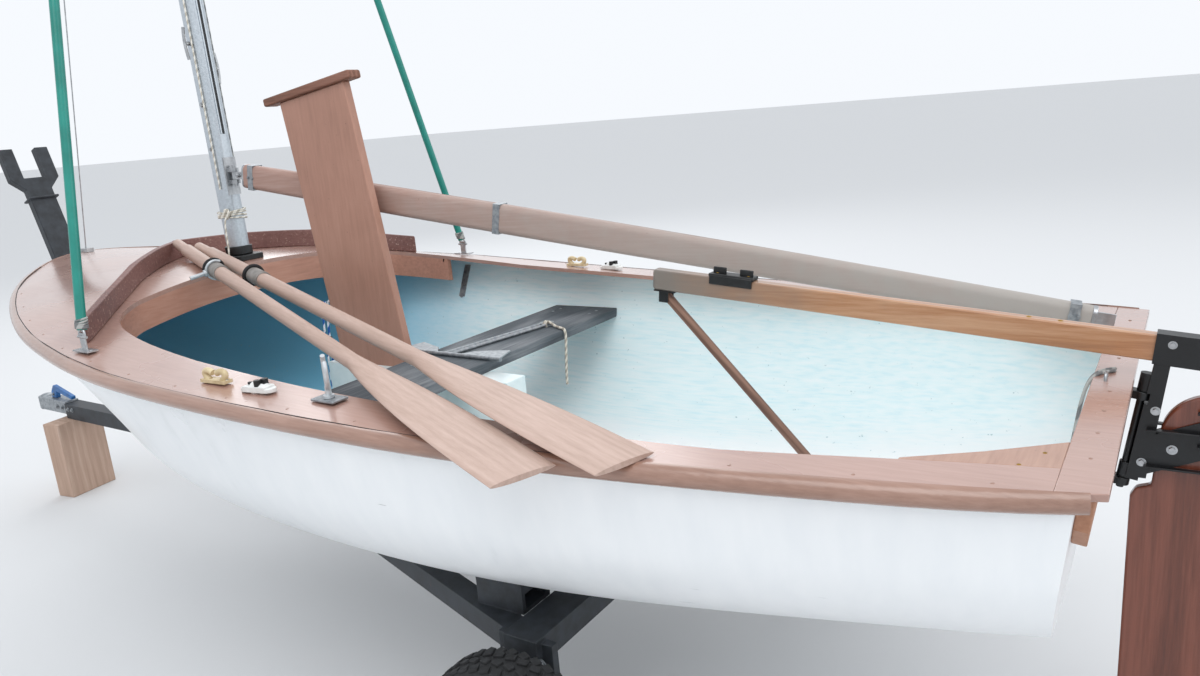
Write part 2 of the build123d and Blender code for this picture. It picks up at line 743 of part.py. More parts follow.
# Oars: loom, grip and blade in one turned and tapered piece
for name, gx, gy, gz, tx, ty, tz, roll in oars:
    grip = Vector(bx(gx), gy, gz)
    tip = Vector(bx(tx), ty, tz)
    along = (tip - grip).normalized()
    flat = Vector(0, 0, 1).cross(along).normalized()
    up = along.cross(flat)
    flat = flat * cos(radians(roll)) + up * sin(radians(roll))
    length = (tip - grip).length

    def oar_plane(distance):
        return Plane(origin=grip + along * distance, x_dir=flat, z_dir=along)

    with BuildPart() as oar:
        with BuildSketch(oar_plane(0)):
            Circle(OAR_GRIP_R)
        extrude(amount=OAR_GRIP_L)
        with BuildSketch(oar_plane(OAR_GRIP_L)):
            Circle(OAR_R)
        with BuildSketch(oar_plane(length - OAR_BLADE_L)):
            Circle(OAR_R - 3)
        loft()
        with BuildSketch(oar_plane(length - OAR_BLADE_L)):
            Ellipse(OAR_R - 3, OAR_R - 3)
        with BuildSketch(oar_plane(length - OAR_BLADE_L * 0.6)):
            Ellipse(OAR_BLADE_W * 0.42, 9)
        with BuildSketch(oar_plane(length - OAR_BLADE_L * 0.25)):
            Ellipse(OAR_BLADE_W * 0.5, OAR_BLADE_T / 2)
        with BuildSketch(oar_plane(length)):
            Ellipse(OAR_BLADE_W * 0.5, OAR_BLADE_T / 2 - 1)
        loft()
    save(oar, name)

# Grapnel-like folding anchor laid on the thwart
ANCHOR_ROD = 6
ANCHOR_Z = THWART_TOP + ANCHOR_ROD
crown_at = Vector(bx(1598), -40, ANCHOR_Z)
ring_at = Vector(bx(1530), -410, ANCHOR_Z)
with BuildPart() as anchor:
    shank = (ring_at - crown_at).normalized()
    for shift in (-11, 11):
        with BuildSketch(Plane(origin=crown_at + Vector(shift, 0, 0), z_dir=shank)):
            Circle(5)
        extrude(amount=(ring_at - crown_at).length - 14)
    with BuildSketch(Plane(origin=crown_at + Vector(-190, 0, 0), x_dir=(0, 1, 0), z_dir=(1, 0, 0))):
        Circle(ANCHOR_ROD)
    extrude(amount=380)
    with BuildSketch(Plane(origin=ring_at - Vector(0, 0, 4), z_dir=(0, 0, 1))):
        Circle(22)
        Circle(13, mode=Mode.SUBTRACT)
    extrude(amount=8)
    for end in (-1, 1):
        with BuildSketch(Plane(origin=crown_at + Vector(0, 0, -2), z_dir=(0, 0, 1))):
            with BuildLine():
                Polyline((end * 30, 5), (end * 185, 5), (end * 160, -80), (end * 70, -45), close=True)
            make_face()
        extrude(amount=4)
save(anchor, "anchor")

# Gudgeons on the transom
hinge_plane = Plane(
    origin=(bx(HINGE_X), 0, HINGE_Z),
    x_dir=(cos(radians(HINGE_RAKE)), 0, sin(radians(HINGE_RAKE))),
    z_dir=(-sin(radians(HINGE_RAKE)), 0, cos(radians(HINGE_RAKE))),
)
for name, along_axis, reach in (("gudgeon_upper", GUDGEON_UP, 40), ("gudgeon_lower", GUDGEON_LOW, 90)):
    with BuildPart() as gudgeon:
        with BuildSketch(hinge_plane.offset(along_axis)):
            Circle(13)
            Rectangle(reach, 22, align=(Align.MIN, Align.CENTER))
            Circle(PIN_R + PIN_GAP, mode=Mode.SUBTRACT)
        extrude(amount=GUDGEON_H)
        if name == "gudgeon_lower":
            plate_z = HINGE_Z + along_axis + 14
            with Locations(transom_plane.location * Location((0, hull_stations[0][2] - plate_z, 2))):
                Box(56, 60, 4)
        add(hull_cut.part, mode=Mode.SUBTRACT)
        add(transom_board.part, mode=Mode.SUBTRACT)
    save(gudgeon, name)

# Rudder head: cheeks, spine, tiller socket, lugs and pintle
tiller_plane = Plane(
    origin=(bx(HINGE_X), 0, TILLER_Z),
    x_dir=(cos(radians(TILLER_SLOPE)), 0, sin(radians(TILLER_SLOPE))),
    z_dir=(-sin(radians(TILLER_SLOPE)), 0, cos(radians(TILLER_SLOPE))),
)
cheek_in = BLADE_T / 2 + BLADE_SIDE_GAP
cheek_points = [
    # x, z
    (-20, 644), (-110, 686), (-205, 735), (-205, 790), (-105, 751), (-32, 718),
]
spine_points = [
    # x, z
    (-6, 643), (-36, 643), (-60, 852), (-37, 852),
]
with BuildPart() as rudder_head:
    for side in (-1, 1):
        with BuildSketch(Plane(origin=(0, side * cheek_in, 0), x_dir=(1, 0, 0), z_dir=(0, side, 0))):
            with BuildLine():
                Polyline(*[(bx(x), -z * side) for x, z in cheek_points], close=True)
            make_face()
        extrude(amount=CHEEK_T)
    with BuildSketch(Plane(origin=(0, cheek_in + CHEEK_T, 0), x_dir=(1, 0, 0), z_dir=(0, -1, 0))):
        with BuildLine():
            Polyline(*[(bx(x), z) for x, z in spine_points], close=True)
        make_face()
    extrude(amount=2 * (cheek_in + CHEEK_T))
    with BuildSketch(tiller_plane.offset(-TILLER_H / 2 - SOCKET_T)):
        with Locations((-156, 0)):
            Rectangle(133, TILLER_W + 2 * SOCKET_T, align=(Align.MIN, Align.CENTER))
    extrude(amount=TILLER_H + 2 * SOCKET_T)
    with BuildSketch(tiller_plane.offset(-TILLER_H / 2 - SOCKET_GAP)):
        with Locations((-176, 0)):
            Rectangle(340, TILLER_W + 2 * SOCKET_GAP, align=(Align.MIN, Align.CENTER))
    extrude(amount=TILLER_H + 2 * SOCKET_GAP, mode=Mode.SUBTRACT)
    # room for the upper gudgeon
    with BuildSketch(hinge_plane.offset(GUDGEON_UP - 5)):
        Circle(NOTCH_R)
    extrude(amount=GUDGEON_H + 5 + LUG_GAP, mode=Mode.SUBTRACT)
    for along_axis, lug_h in ((GUDGEON_UP, LUG_UP_H), (GUDGEON_LOW, LUG_LOW_H)):
        with BuildSketch(hinge_plane.offset(along_axis + GUDGEON_H + LUG_GAP)):
            Circle(LUG_R)
            Rectangle(24, 2 * LUG_R, align=(Align.MAX, Align.CENTER))
        extrude(amount=lug_h)
    with BuildSketch(hinge_plane.offset(GUDGEON_LOW - 6)):
        Circle(PIN_R)
    extrude(amount=GUDGEON_UP - GUDGEON_LOW + GUDGEON_H + LUG_UP_H + 4)
    with BuildSketch(Plane(origin=(bx(BLADE_PIVOT_X), -cheek_in - CHEEK_T - 6, BLADE_PIVOT_Z), z_dir=(0, 1, 0))):
        Circle(BLADE_BOLT_R)
    extrude(amount=2 * (cheek_in + CHEEK_T + 6))
save(rudder_head, "rudder_head")

with BuildPart() as rudder_blade:
    with BuildSketch(Plane(origin=(0, BLADE_T / 2, 0), x_dir=(1, 0, 0), z_dir=(0, -1, 0))):
        pivot_x = bx(BLADE_PIVOT_X)
        with BuildLine():
            ThreePointArc((pivot_x + BLADE_HEAD_R, BLADE_PIVOT_Z), (pivot_x, BLADE_PIVOT_Z + BLADE_HEAD_R),
                          (pivot_x - BLADE_HEAD_R, BLADE_PIVOT_Z))
            Polyline((pivot_x - BLADE_HEAD_R, BLADE_PIVOT_Z), (bx(BLADE_AFT_X), 655), (bx(BLADE_AFT_X), 230))
            ThreePointArc((bx(BLADE_AFT_X), 230), (bx(-175), 135), (bx(-100), BLADE_TIP_Z))
            Line((bx(-100), BLADE_TIP_Z), (bx(-55), BLADE_TIP_Z))
            ThreePointArc((bx(-55), BLADE_TIP_Z), (bx(-10), 128), (bx(BLADE_FORE_X), 200))
            Polyline((bx(BLADE_FORE_X), 200), (bx(BLADE_FORE_X), 606), (bx(BLADE_FORE_X - 8), 622),
                     (bx(-44), 630), (pivot_x + BLADE_HEAD_R, BLADE_PIVOT_Z))
        make_face()
        with Locations((pivot_x, BLADE_PIVOT_Z)):
            Circle(BLADE_BOLT_R + PIN_GAP, mode=Mode.SUBTRACT)
    extrude(amount=BLADE_T)
save(rudder_blade, "rudder_blade")

with BuildPart() as tiller:
    with BuildSketch(tiller_plane.offset(-TILLER_H / 2)):
        with Locations((TILLER_AFT, 0)):
            Rectangle(TILLER_FORE - TILLER_AFT, TILLER_W, align=(Align.MIN, Align.CENTER))
    extrude(amount=TILLER_H)
    chamfer(tiller.faces().sort_by(Axis.X)[-1].edges(), 5)
save(tiller, "tiller")

ext_pivot = tiller_plane.from_local_coords(Vector(EXT_AT, 0, -EXT_DROP))
ext_dir = Vector(-cos(radians(EXT_SLOPE)), 0, -sin(radians(EXT_SLOPE)))
with BuildPart() as extension_bracket:
    with Locations(tiller_plane.location * Location((EXT_AT, 0, -TILLER_H / 2 - 1.5))):
        Box(50, TILLER_W, 3)
        for side in (-1, 1):
            with Locations((0, side * (EXT_R + 2.5), -12)):
                Box(22, 3, 24)
    with BuildSketch(Plane(origin=ext_pivot - Vector(0, EXT_R + 4, 0), z_dir=(0, 1, 0))):
        Circle(3)
    extrude(amount=2 * (EXT_R + 4))
save(extension_bracket, "extension_bracket")

with BuildPart() as tiller_extension:
    with BuildSketch(Plane(origin=ext_pivot + ext_dir * 14, z_dir=ext_dir)):
        Circle(EXT_R)
    extrude(amount=EXT_L)
    with BuildSketch(Plane(origin=ext_pivot - Vector(0, EXT_R - 1.5, 0), x_dir=ext_dir, z_dir=(0, 1, 0))):
        Circle(8)
        Rectangle(20, 14, align=(Align.MIN, Align.CENTER))
        Circle(3.3, mode=Mode.SUBTRACT)
    extrude(amount=2 * (EXT_R - 1.5))
save(tiller_extension, "tiller_extension")

# Trailer: tongue, rails and axle beam welded into one frame
tongue_mid = TONGUE_TOP - TONGUE_SIZE / 2
axle_top = TONGUE_TOP
with BuildPart() as trailer_frame:
    with Locations((bx(AXLE_X), 0, axle_top)):
        Box(AXLE_W, 2 * AXLE_HALF, AXLE_H, align=(Align.CENTER, Align.CENTER, Align.MAX))
    with Locations((bx(AXLE_X), 0, TONGUE_TOP)):
        Box(TONGUE_FORE - AXLE_X, TONGUE_SIZE, TONGUE_SIZE, align=(Align.MIN, Align.CENTER, Align.MAX))
    for side in (-1, 1):
        start = Vector(bx(AXLE_X), side * RAIL_OUT_Y, TONGUE_TOP - 10)
        end = Vector(bx(RAIL_JOIN_X), side * 10, TONGUE_TOP - 10)
        run = end - start
        turn = degrees(atan2(run.Y, run.X))
        with Locations(Location(start, (0, 0, turn))):
            Box(run.length, RAIL_W, RAIL_DEEP, align=(Align.MIN, Align.CENTER, Align.MAX))
        # suspension plate and stub axle
        with Locations((bx(AXLE_X), side * (AXLE_HALF - 25), axle_top - 10)):
            Box(130, 18, axle_top - 10 - WHEEL_R + 30, align=(Align.CENTER, Align.CENTER, Align.MAX))
        with Locations((0, side * (AXLE_HALF - 30), WHEEL_R)):
            Cylinder(AXLE_R, WHEEL_Y - AXLE_HALF + 30 + 22, rotation=(-90 * side, 0, 0),
                     align=(Align.CENTER, Align.CENTER, Align.MIN))
        # open ended bracket under the hull
        with Locations((bx(AXLE_X + 110), side * 410, TONGUE_TOP - 10)):
            Box(120, 90, 120, align=(Align.CENTER, Align.CENTER, Align.MIN))
    # pad under the keel
    with Locations((bx(AXLE_X), 0, TONGUE_TOP - 2)):
        Box(AXLE_W, 130, 62, align=(Align.CENTER, Align.CENTER, Align.MIN))
    add(full_form, mode=Mode.SUBTRACT)
    for side in (-1, 1):
        with Locations((bx(AXLE_X + 120), side * 410, TONGUE_TOP - 2)):
            Box(140, 70, 34, align=(Align.CENTER, Align.CENTER, Align.MIN), mode=Mode.SUBTRACT)
save(trailer_frame, "trailer_frame")

roller_z = bottom_z(ROLLER_X, 0) - ROLLER_R - 8
with BuildPart() as roller_bracket:
    for side in (-1, 1):
        with BuildSketch(Plane(origin=(bx(ROLLER_X), side * (ROLLER_L / 2 + 2), 0), x_dir=(1, 0, 0),
                               z_dir=(0, side, 0))):
            with Locations((0, -side * roller_z)):
                Circle(16)
            with BuildLine():
                Polyline((-35, -side * (TONGUE_TOP - 20)), (35, -side * (TONGUE_TOP - 20)),
                         (16, -side * roller_z), (-16, -side * roller_z), close=True)
            make_face()
        extrude(amount=5)
    with Locations((bx(ROLLER_X), 0, TONGUE_TOP)):
        Box(70, ROLLER_L + 14, 5, align=(Align.CENTER, Align.CENTER, Align.MIN))
    with BuildSketch(Plane(origin=(bx(ROLLER_X), -ROLLER_L / 2 - 12, roller_z), z_dir=(0, 1, 0))):
        Circle(7)
    extrude(amount=ROLLER_L + 24)
    with Locations((bx(ROLLER_X), 0, TONGUE_TOP)):
        Box(200, TONGUE_SIZE, 60, align=(Align.CENTER, Align.CENTER, Align.MAX), mode=Mode.SUBTRACT)
save(roller_bracket, "roller_bracket")

with BuildPart() as bow_roller:
    with BuildSketch(Plane(origin=(bx(ROLLER_X), -ROLLER_L / 2, roller_z), z_dir=(0, 1, 0))):
        Circle(ROLLER_R)
        Circle(7 + PIN_GAP, mode=Mode.SUBTRACT)
    extrude(amount=ROLLER_L)
save(bow_roller, "bow_roller")

post_plane = Plane(
    origin=(bx(POST_X), 0, TONGUE_TOP),
    x_dir=(cos(radians(POST_LEAN)), 0, -sin(radians(POST_LEAN))),
    z_dir=(sin(radians(POST_LEAN)), 0, cos(radians(POST_LEAN))),
)
with BuildPart() as trailer_post:
    with BuildSketch(post_plane.offset(-30)):
        Rectangle(POST_D, POST_W)
    extrude(amount=POST_L + 30)
    with BuildSketch(post_plane.offset(POST_L - 44)):
        Rectangle(POST_D + 26, POST_W + 14)
    extrude(amount=8)
    fork_face = Plane(origin=post_plane.origin, x_dir=(0, 1, 0), z_dir=post_plane.x_dir).offset(-POST_D / 2)
    with BuildSketch(fork_face):
        with BuildLine():
            Polyline(
                (-40, POST_L - 10), (-FORK_HALF_W, POST_L + 36), (-FORK_HALF_W, POST_L + FORK_L),
                (-FORK_HALF_GAP, POST_L + FORK_L), (-FORK_HALF_GAP, POST_L + 40), (FORK_HALF_GAP, POST_L + 40),
                (FORK_HALF_GAP, POST_L + FORK_L), (FORK_HALF_W, POST_L + FORK_L), (FORK_HALF_W, POST_L + 36),
                (40, POST_L - 10), close=True,
            )
        make_face()
    extrude(amount=POST_D)
    with Locations((bx(POST_X), 0, TONGUE_TOP)):
        Box(400, 400, 200, align=(Align.CENTER, Align.CENTER, Align.MAX), mode=Mode.SUBTRACT)
save(trailer_post, "trailer_post")

with BuildPart() as coupler:
    with Locations((bx(TONGUE_FORE), 0, TONGUE_TOP + 8)):
        Box(COUPLER_L, 58, 52, align=(Align.MIN, Align.CENTER, Align.MAX))
    fillet(coupler.edges().filter_by(Axis.Z).group_by(Axis.X)[-1], 26)
    with Locations((bx(TONGUE_FORE + COUPLER_L - 34), 0, TONGUE_TOP - 44)):
        Cylinder(25, 38, align=(Align.CENTER, Align.CENTER, Align.MIN), mode=Mode.SUBTRACT)
save(coupler, "coupler")

with BuildPart() as coupler_handle:
    handle_z = TONGUE_TOP + 8
    with BuildSketch(Plane(origin=(0, 9, 0), x_dir=(1, 0, 0), z_dir=(0, -1, 0))):
        with BuildLine():
            Polyline((bx(TONGUE_FORE - 27), handle_z + 19), (bx(TONGUE_FORE - 23), handle_z + 5),
                     (bx(TONGUE_FORE + 92), handle_z + 29), (bx(TONGUE_FORE + 97), handle_z),
                     (bx(TONGUE_FORE + 136), handle_z), (bx(TONGUE_FORE + 132), handle_z + 26),
                     (bx(TONGUE_FORE + 108), handle_z + 54), close=True)
        make_face()
    extrude(amount=18)
save(coupler_handle, "coupler_handle")

with BuildPart() as wood_block:
    with BuildSketch(Plane(origin=(bx(BLOCK_X), BLOCK_Y, 0),
                           x_dir=(cos(radians(BLOCK_TURN)), sin(radians(BLOCK_TURN)), 0), z_dir=(0, 0, 1))):
        Rectangle(BLOCK_L, BLOCK_W)
    extrude(amount=TONGUE_TOP - TONGUE_SIZE)
save(wood_block, "wood_block")

# Wheels
tyre_outline = [
    # radius, out
    (RIM_R, -38), (RIM_R + 30, -TYRE_W / 2), (WHEEL_R - 34, -TYRE_W / 2), (WHEEL_R - 6, -38), (WHEEL_R, -20),
    (WHEEL_R, 20), (WHEEL_R - 6, 38), (WHEEL_R - 34, TYRE_W / 2), (RIM_R + 30, TYRE_W / 2), (RIM_R, 38),
]
rim_outline = [
    # radius, out
    (RIM_R, -38), (RIM_R, 38), (RIM_R - 10, 38), (RIM_R - 16, 12), (44, 18), (44, 34), (AXLE_R + 0.5, 34),
    (AXLE_R + 0.5, -30), (44, -30), (44, 6), (RIM_R - 16, 2), (RIM_R - 10, -38),
]
for side, tag in ((1, "port"), (-1, "starboard")):
    for outline, kind in ((tyre_outline, "tyre"), (rim_outline, "rim")):
        with BuildPart() as wheel:
            with BuildSketch(Plane(origin=(0, 0, WHEEL_R), x_dir=(1, 0, 0), z_dir=(0, 0, 1))):
                with BuildLine():
                    Polyline(*[(radius, side * (WHEEL_Y + out)) for radius, out in outline], close=True)
                make_face()
            revolve(axis=Axis((0, 0, WHEEL_R), (0, 1, 0)))
        save(wheel, f"{kind}_{tag}")
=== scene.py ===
"""Small sailing dinghy on its road trailer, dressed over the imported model."""
import json
import math

import bmesh
import bpy
from mathutils import Matrix, Vector
from mathutils.bvhtree import BVHTree

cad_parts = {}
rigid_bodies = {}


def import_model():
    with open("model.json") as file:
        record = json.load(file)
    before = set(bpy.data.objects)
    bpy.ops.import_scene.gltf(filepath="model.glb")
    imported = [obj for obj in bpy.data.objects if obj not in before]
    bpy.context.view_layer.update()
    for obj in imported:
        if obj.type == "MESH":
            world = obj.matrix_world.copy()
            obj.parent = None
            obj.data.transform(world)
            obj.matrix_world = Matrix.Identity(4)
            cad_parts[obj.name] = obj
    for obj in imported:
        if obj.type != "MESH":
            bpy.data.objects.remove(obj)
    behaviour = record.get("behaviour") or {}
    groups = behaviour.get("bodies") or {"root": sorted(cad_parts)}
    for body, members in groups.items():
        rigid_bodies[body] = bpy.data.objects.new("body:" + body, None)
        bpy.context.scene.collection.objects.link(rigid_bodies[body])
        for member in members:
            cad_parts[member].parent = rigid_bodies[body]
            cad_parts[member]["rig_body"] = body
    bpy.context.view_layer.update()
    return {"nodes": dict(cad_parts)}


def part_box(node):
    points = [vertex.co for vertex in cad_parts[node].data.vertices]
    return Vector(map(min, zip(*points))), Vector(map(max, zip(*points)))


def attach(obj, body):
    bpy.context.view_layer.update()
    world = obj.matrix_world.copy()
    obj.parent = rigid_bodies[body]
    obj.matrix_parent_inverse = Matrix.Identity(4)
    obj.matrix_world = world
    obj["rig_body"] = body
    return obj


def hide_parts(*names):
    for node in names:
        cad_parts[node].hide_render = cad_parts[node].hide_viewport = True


bl_info = {
    "name": "Dinghy on a trailer",
    "version": (1, 0, 0),
    "blender": (4, 5, 0),
    "location": "View3D > Sidebar > Dinghy",
    "description": "Dresses a packed sailing dinghy with worn paint, timber, rope and metal",
    "category": "Object",
}

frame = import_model()
NODES = frame["nodes"]
BOAT = "boat_and_trailer"
MATS = {}
AHEAD, PORT, UP = Vector((1, 0, 0)), Vector((0, 1, 0)), Vector((0, 0, 1))
SIDES = (("port", 1), ("starboard", -1))
TRANSOM = -0.885              # transom edge, metres


def bx(distance):
    """X of a distance ahead of the transom edge, both in metres."""
    return TRANSOM + distance


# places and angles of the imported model, metres and degrees
MAST_FOOT_X = 1.490
MAST_LEAN = 1.2
HOUNDS_UP = 3.14              # stays meet the mast, above its foot
MAST_L = 4.5
LIFT_PIN = (1.415157, -0.003364, 1.225307)
BOOM_YAW = 6.9
BOOM_DROP = 9.5
OARS = {
    # oar: (grip end, blade end)
    "oar_near": ((bx(2.612), 0.050, 1.0238), (bx(0.720), 0.736, 0.8125)),
    "oar_far": ((bx(2.510), 0.044, 1.0136), (bx(0.594), 0.656, 0.8207)),
}
WHEEL_R = 0.2
WHEEL_Y = 0.64
TILLER_ROOT = (bx(-0.012), 0, 0.874)
TILLER_SLOPE = 5.2
CHAIN_X = bx(2.058)           # chain plates
CHAIN_Y = 0.662
CHAIN_EYE_Z = 0.913
CHAIN_DECK_Z = 0.8795
STAY_TOP = (1.5558, 0.0343, 4.1276)
# camera fitted to the photograph: sizes in pixels, then its place and directions
FOCAL_PIXELS = 893.32
PHOTO_PIXELS = 1200
CAMERA_AT = (-0.9556, 1.6742, 1.3162)
CAMERA_RIGHT = (-0.8363, -0.5423, -0.0808)
CAMERA_UP = (0.0668, -0.2470, 0.9667)
CAMERA_AHEAD = (0.5442, -0.8031, -0.2427)


# Settings

class DinghySizes(bpy.types.PropertyGroup):
    line_width: bpy.props.FloatProperty(
        name="Line width", description="Diameter of the thin running lines", default=0.006, min=0.002,
        unit="LENGTH")
    rope_width: bpy.props.FloatProperty(
        name="Rope width", description="Diameter of the anchor rope", default=0.008, min=0.002,
        unit="LENGTH")
    tread_depth: bpy.props.FloatProperty(
        name="Tread depth", description="Depth of the tyre grooves", default=0.006, min=0.001, unit="LENGTH")
    screw_head: bpy.props.FloatProperty(
        name="Screw head", description="Diameter of the deck screw heads", default=0.006, min=0.002,
        unit="LENGTH")


class DinghyColours(bpy.types.PropertyGroup):
    deck: bpy.props.StringProperty(name="Deck", description="Deck paint, sRGB hex", default="#A98578")
    hull: bpy.props.StringProperty(name="Hull", description="Outside laminate, sRGB hex", default="#EDF0F2")
    inside: bpy.props.StringProperty(name="Inside", description="Inside paint, sRGB hex", default="#E8FAFC")
    hose: bpy.props.StringProperty(name="Hose", description="Stay covers, sRGB hex", default="#1E8B7E")


# Materials

OWN_AXES = {"vector_type": "TEXTURE"}
ADDED = {"operation": "MULTIPLY_ADD"}
TIMES = {"operation": "MULTIPLY"}
EASED = {"interpolation_type": "SMOOTHSTEP"}
COLOUR = {"data_type": "RGBA"}


def lin(code):
    """sRGB hex to linear colour."""
    code = code.lstrip("#")
    out = []
    for i in (0, 2, 4):
        v = int(code[i:i + 2], 16) / 255
        out.append(v / 12.92 if v <= 0.04045 else ((v + 0.055) / 1.055) ** 2.4)
    return (*out, 1.0)


def feed(mat, node, **links):
    """Gives a node its inputs, each a value, a socket or a node's first output."""
    for key, value in links.items():
        socket = node.inputs[int(key[1:])] if key[1:].isdigit() else node.inputs[key.replace("_", " ")]
        if isinstance(value, bpy.types.Node):
            value = value.outputs[0]
        if isinstance(value, bpy.types.NodeSocket):
            mat.node_tree.links.new(value, socket)
        else:
            socket.default_value = value


def put(mat, kind, settings=None, **links):
    """Adds a node with its settings and links; the stops of a ramp are places with hex colours."""
    node = mat.node_tree.nodes.new("ShaderNode" + kind)
    for key, value in (settings or {}).items():
        if key != "stops":
            setattr(node, key, value)
            continue
        band = node.color_ramp.elements
        while len(band) < len(value):
            band.new(0.5)
        for element, (at, code) in zip(band, value):
            element.position = at
            element.color = lin(code)
    feed(mat, node, **links)
    return node


def blank(name):
    """New material; gives the material, its Object coordinates and its shader."""
    mat = bpy.data.materials.new(name)
    mat.use_nodes = True
    mat.node_tree.nodes.clear()
    shader = put(mat, "BsdfPrincipled")
    put(mat, "OutputMaterial", Surface=shader)
    MATS[name] = mat
    return mat, put(mat, "TexCoord").outputs["Object"], shader


def finer(times):
    """Scale on a pattern's own axes that makes it so many times finer along each."""
    return tuple(1 / v for v in times)


def worn_paint(name, base, dark, light, roughness=0.42, grain=(1.2, 14, 14), turn=(0, 0, 0), chips=0.72,
               chip="#7A5A4C", coat=0.0):
    """Brush painted plywood and timber: faint grain through the coat, faded patches, small chips."""
    mat, where, shader = blank(name)
    along = put(mat, "Mapping", OWN_AXES, Vector=where, Rotation=turn, Scale=finer(grain))
    fine = put(mat, "TexNoise", Vector=along, Scale=9.0, Detail=6.0, Roughness=0.6)
    broad = put(mat, "TexNoise", Vector=where, Scale=3.4, Detail=4.0, Roughness=0.55)
    both = put(mat, "Math", ADDED, n0=fine, n1=0.45, n2=0.01)
    both = put(mat, "Math", ADDED, n0=broad, n1=0.55, n2=both)
    colour = put(mat, "ValToRGB", {"stops": ((0.28, dark), (0.5, base), (0.74, light))}, Fac=both)
    dots = put(mat, "TexNoise", Vector=where, Scale=130.0, Detail=3.0, Roughness=0.7)
    spots = put(mat, "MapRange", Value=dots, n1=chips, n2=chips + 0.05)
    feed(mat, shader, Coat_Weight=coat, Coat_Roughness=0.22,
         Base_Color=put(mat, "Mix", COLOUR, n0=spots, n6=colour, n7=lin(chip)).outputs[2],
         Roughness=put(mat, "MapRange", Value=broad, n3=roughness - 0.08, n4=roughness + 0.14),
         Normal=put(mat, "Bump", Strength=0.18, Distance=0.0012, Height=fine))
    return mat, shader


def weather(finish, colour, start, end):
    """Bare grey fade of a coat towards one end, from X = start to X = end."""
    mat, shader = finish
    where = put(mat, "TexCoord").outputs["Object"]
    share = put(mat, "MapRange", Value=put(mat, "SeparateXYZ", Vector=where), n1=start, n2=end)
    share = put(mat, "Math", ADDED, n0=share, n1=1.1, n2=-0.3)
    patches = put(mat, "TexNoise", Vector=where, Scale=24.0, Detail=4.0)
    share = put(mat, "Math", {**ADDED, "use_clamp": True}, n0=patches, n1=0.5, n2=share)
    whole = shader.inputs["Base Color"].links[0].from_socket
    feed(mat, shader, Base_Color=put(mat, "Mix", COLOUR, n0=share, n6=whole, n7=lin(colour)).outputs[2])


def timber(name, base, dark, light, roughness=0.5, grain=(1.6, 40, 40), turn=(0, 0, 0), coat=0.0,
           bands_share=0.22, strength=0.3, reach=0.2):
    """Sawn or planed timber: long fibres, growth bands and a few darker streaks."""
    mat, where, shader = blank(name)
    along = put(mat, "Mapping", OWN_AXES, Vector=where, Rotation=turn, Scale=finer(grain))
    warp = put(mat, "TexNoise", Vector=along, Scale=1.3, Detail=3.0, Distortion=0.6)
    fibres = put(mat, "TexNoise", Vector=along, Scale=6.0, Detail=8.0, Roughness=0.68)
    bands = put(mat, "TexWave", {"wave_type": "BANDS", "bands_direction": "Y"}, Vector=along, Scale=0.7,
                Distortion=5.0, Detail=3.0).outputs["Fac"]
    mixed = put(mat, "Math", TIMES, n0=warp, n1=0.3)
    mixed = put(mat, "Math", ADDED, n0=fibres, n1=0.62, n2=mixed)
    mixed = put(mat, "Math", ADDED, n0=bands, n1=bands_share, n2=mixed)
    stops = ((0.5 - reach, dark), (0.55, base), (0.55 + reach, light))
    feed(mat, shader, Roughness=roughness, Coat_Weight=coat, Coat_Roughness=0.15,
         Base_Color=put(mat, "ValToRGB", {"stops": stops}, Fac=mixed),
         Normal=put(mat, "Bump", Strength=strength, Distance=0.001, Height=fibres))
    return mat, shader


def metal(name, base, dark, roughness=0.4, metallic=1.0, scale=60.0, rust=None, rust_at=0.6):
    """Bare or coated metal: fine mottling, and rust where asked."""
    mat, where, shader = blank(name)
    mottle = put(mat, "TexNoise", Vector=where, Scale=scale, Detail=5.0, Roughness=0.6)
    colour = put(mat, "ValToRGB", {"stops": ((0.32, dark), (0.68, base))}, Fac=mottle)
    if rust:
        blooms = put(mat, "TexNoise", Vector=where, Scale=scale * 0.25, Detail=8.0, Roughness=0.72)
        share = put(mat, "MapRange", Value=blooms, n1=rust_at, n2=rust_at + 0.08)
        colour = put(mat, "Mix", COLOUR, n0=share, n6=colour, n7=lin(rust)).outputs[2]
        metallic = put(mat, "Math", ADDED, n0=share, n1=-metallic, n2=metallic)
    feed(mat, shader, Base_Color=colour, Metallic=metallic,
         Roughness=put(mat, "MapRange", Value=mottle, n3=roughness - 0.1, n4=roughness + 0.16),
         Normal=put(mat, "Bump", Strength=0.15, Distance=0.0005, Height=mottle))


def plastic(name, base, shade, roughness=0.4, scale=40.0, strength=0.1):
    """Moulded plastic or rubber, a little uneven with age."""
    mat, where, shader = blank(name)
    mottle = put(mat, "TexNoise", Vector=where, Scale=scale, Detail=4.0, Roughness=0.6)
    feed(mat, shader, Roughness=roughness,
         Base_Color=put(mat, "ValToRGB", {"stops": ((0.35, shade), (0.65, base))}, Fac=mottle),
         Normal=put(mat, "Bump", Strength=strength, Distance=0.0006, Height=mottle))


def braid(name, base, fleck, pitch=0.006):
    """Braided line: diagonal flecks, closer together with a smaller pitch."""
    mat, where, shader = blank(name)
    wave = put(mat, "TexWave", {"wave_type": "BANDS", "bands_direction": "DIAGONAL"}, Vector=where,
               Scale=0.5 / pitch / 3, Distortion=0.4).outputs["Fac"]
    feed(mat, shader, Roughness=0.85,
         Base_Color=put(mat, "ValToRGB", {"stops": ((0.35, fleck), (0.6, base))}, Fac=wave),
         Normal=put(mat, "Bump", Strength=0.5, Distance=0.0008, Height=wave))


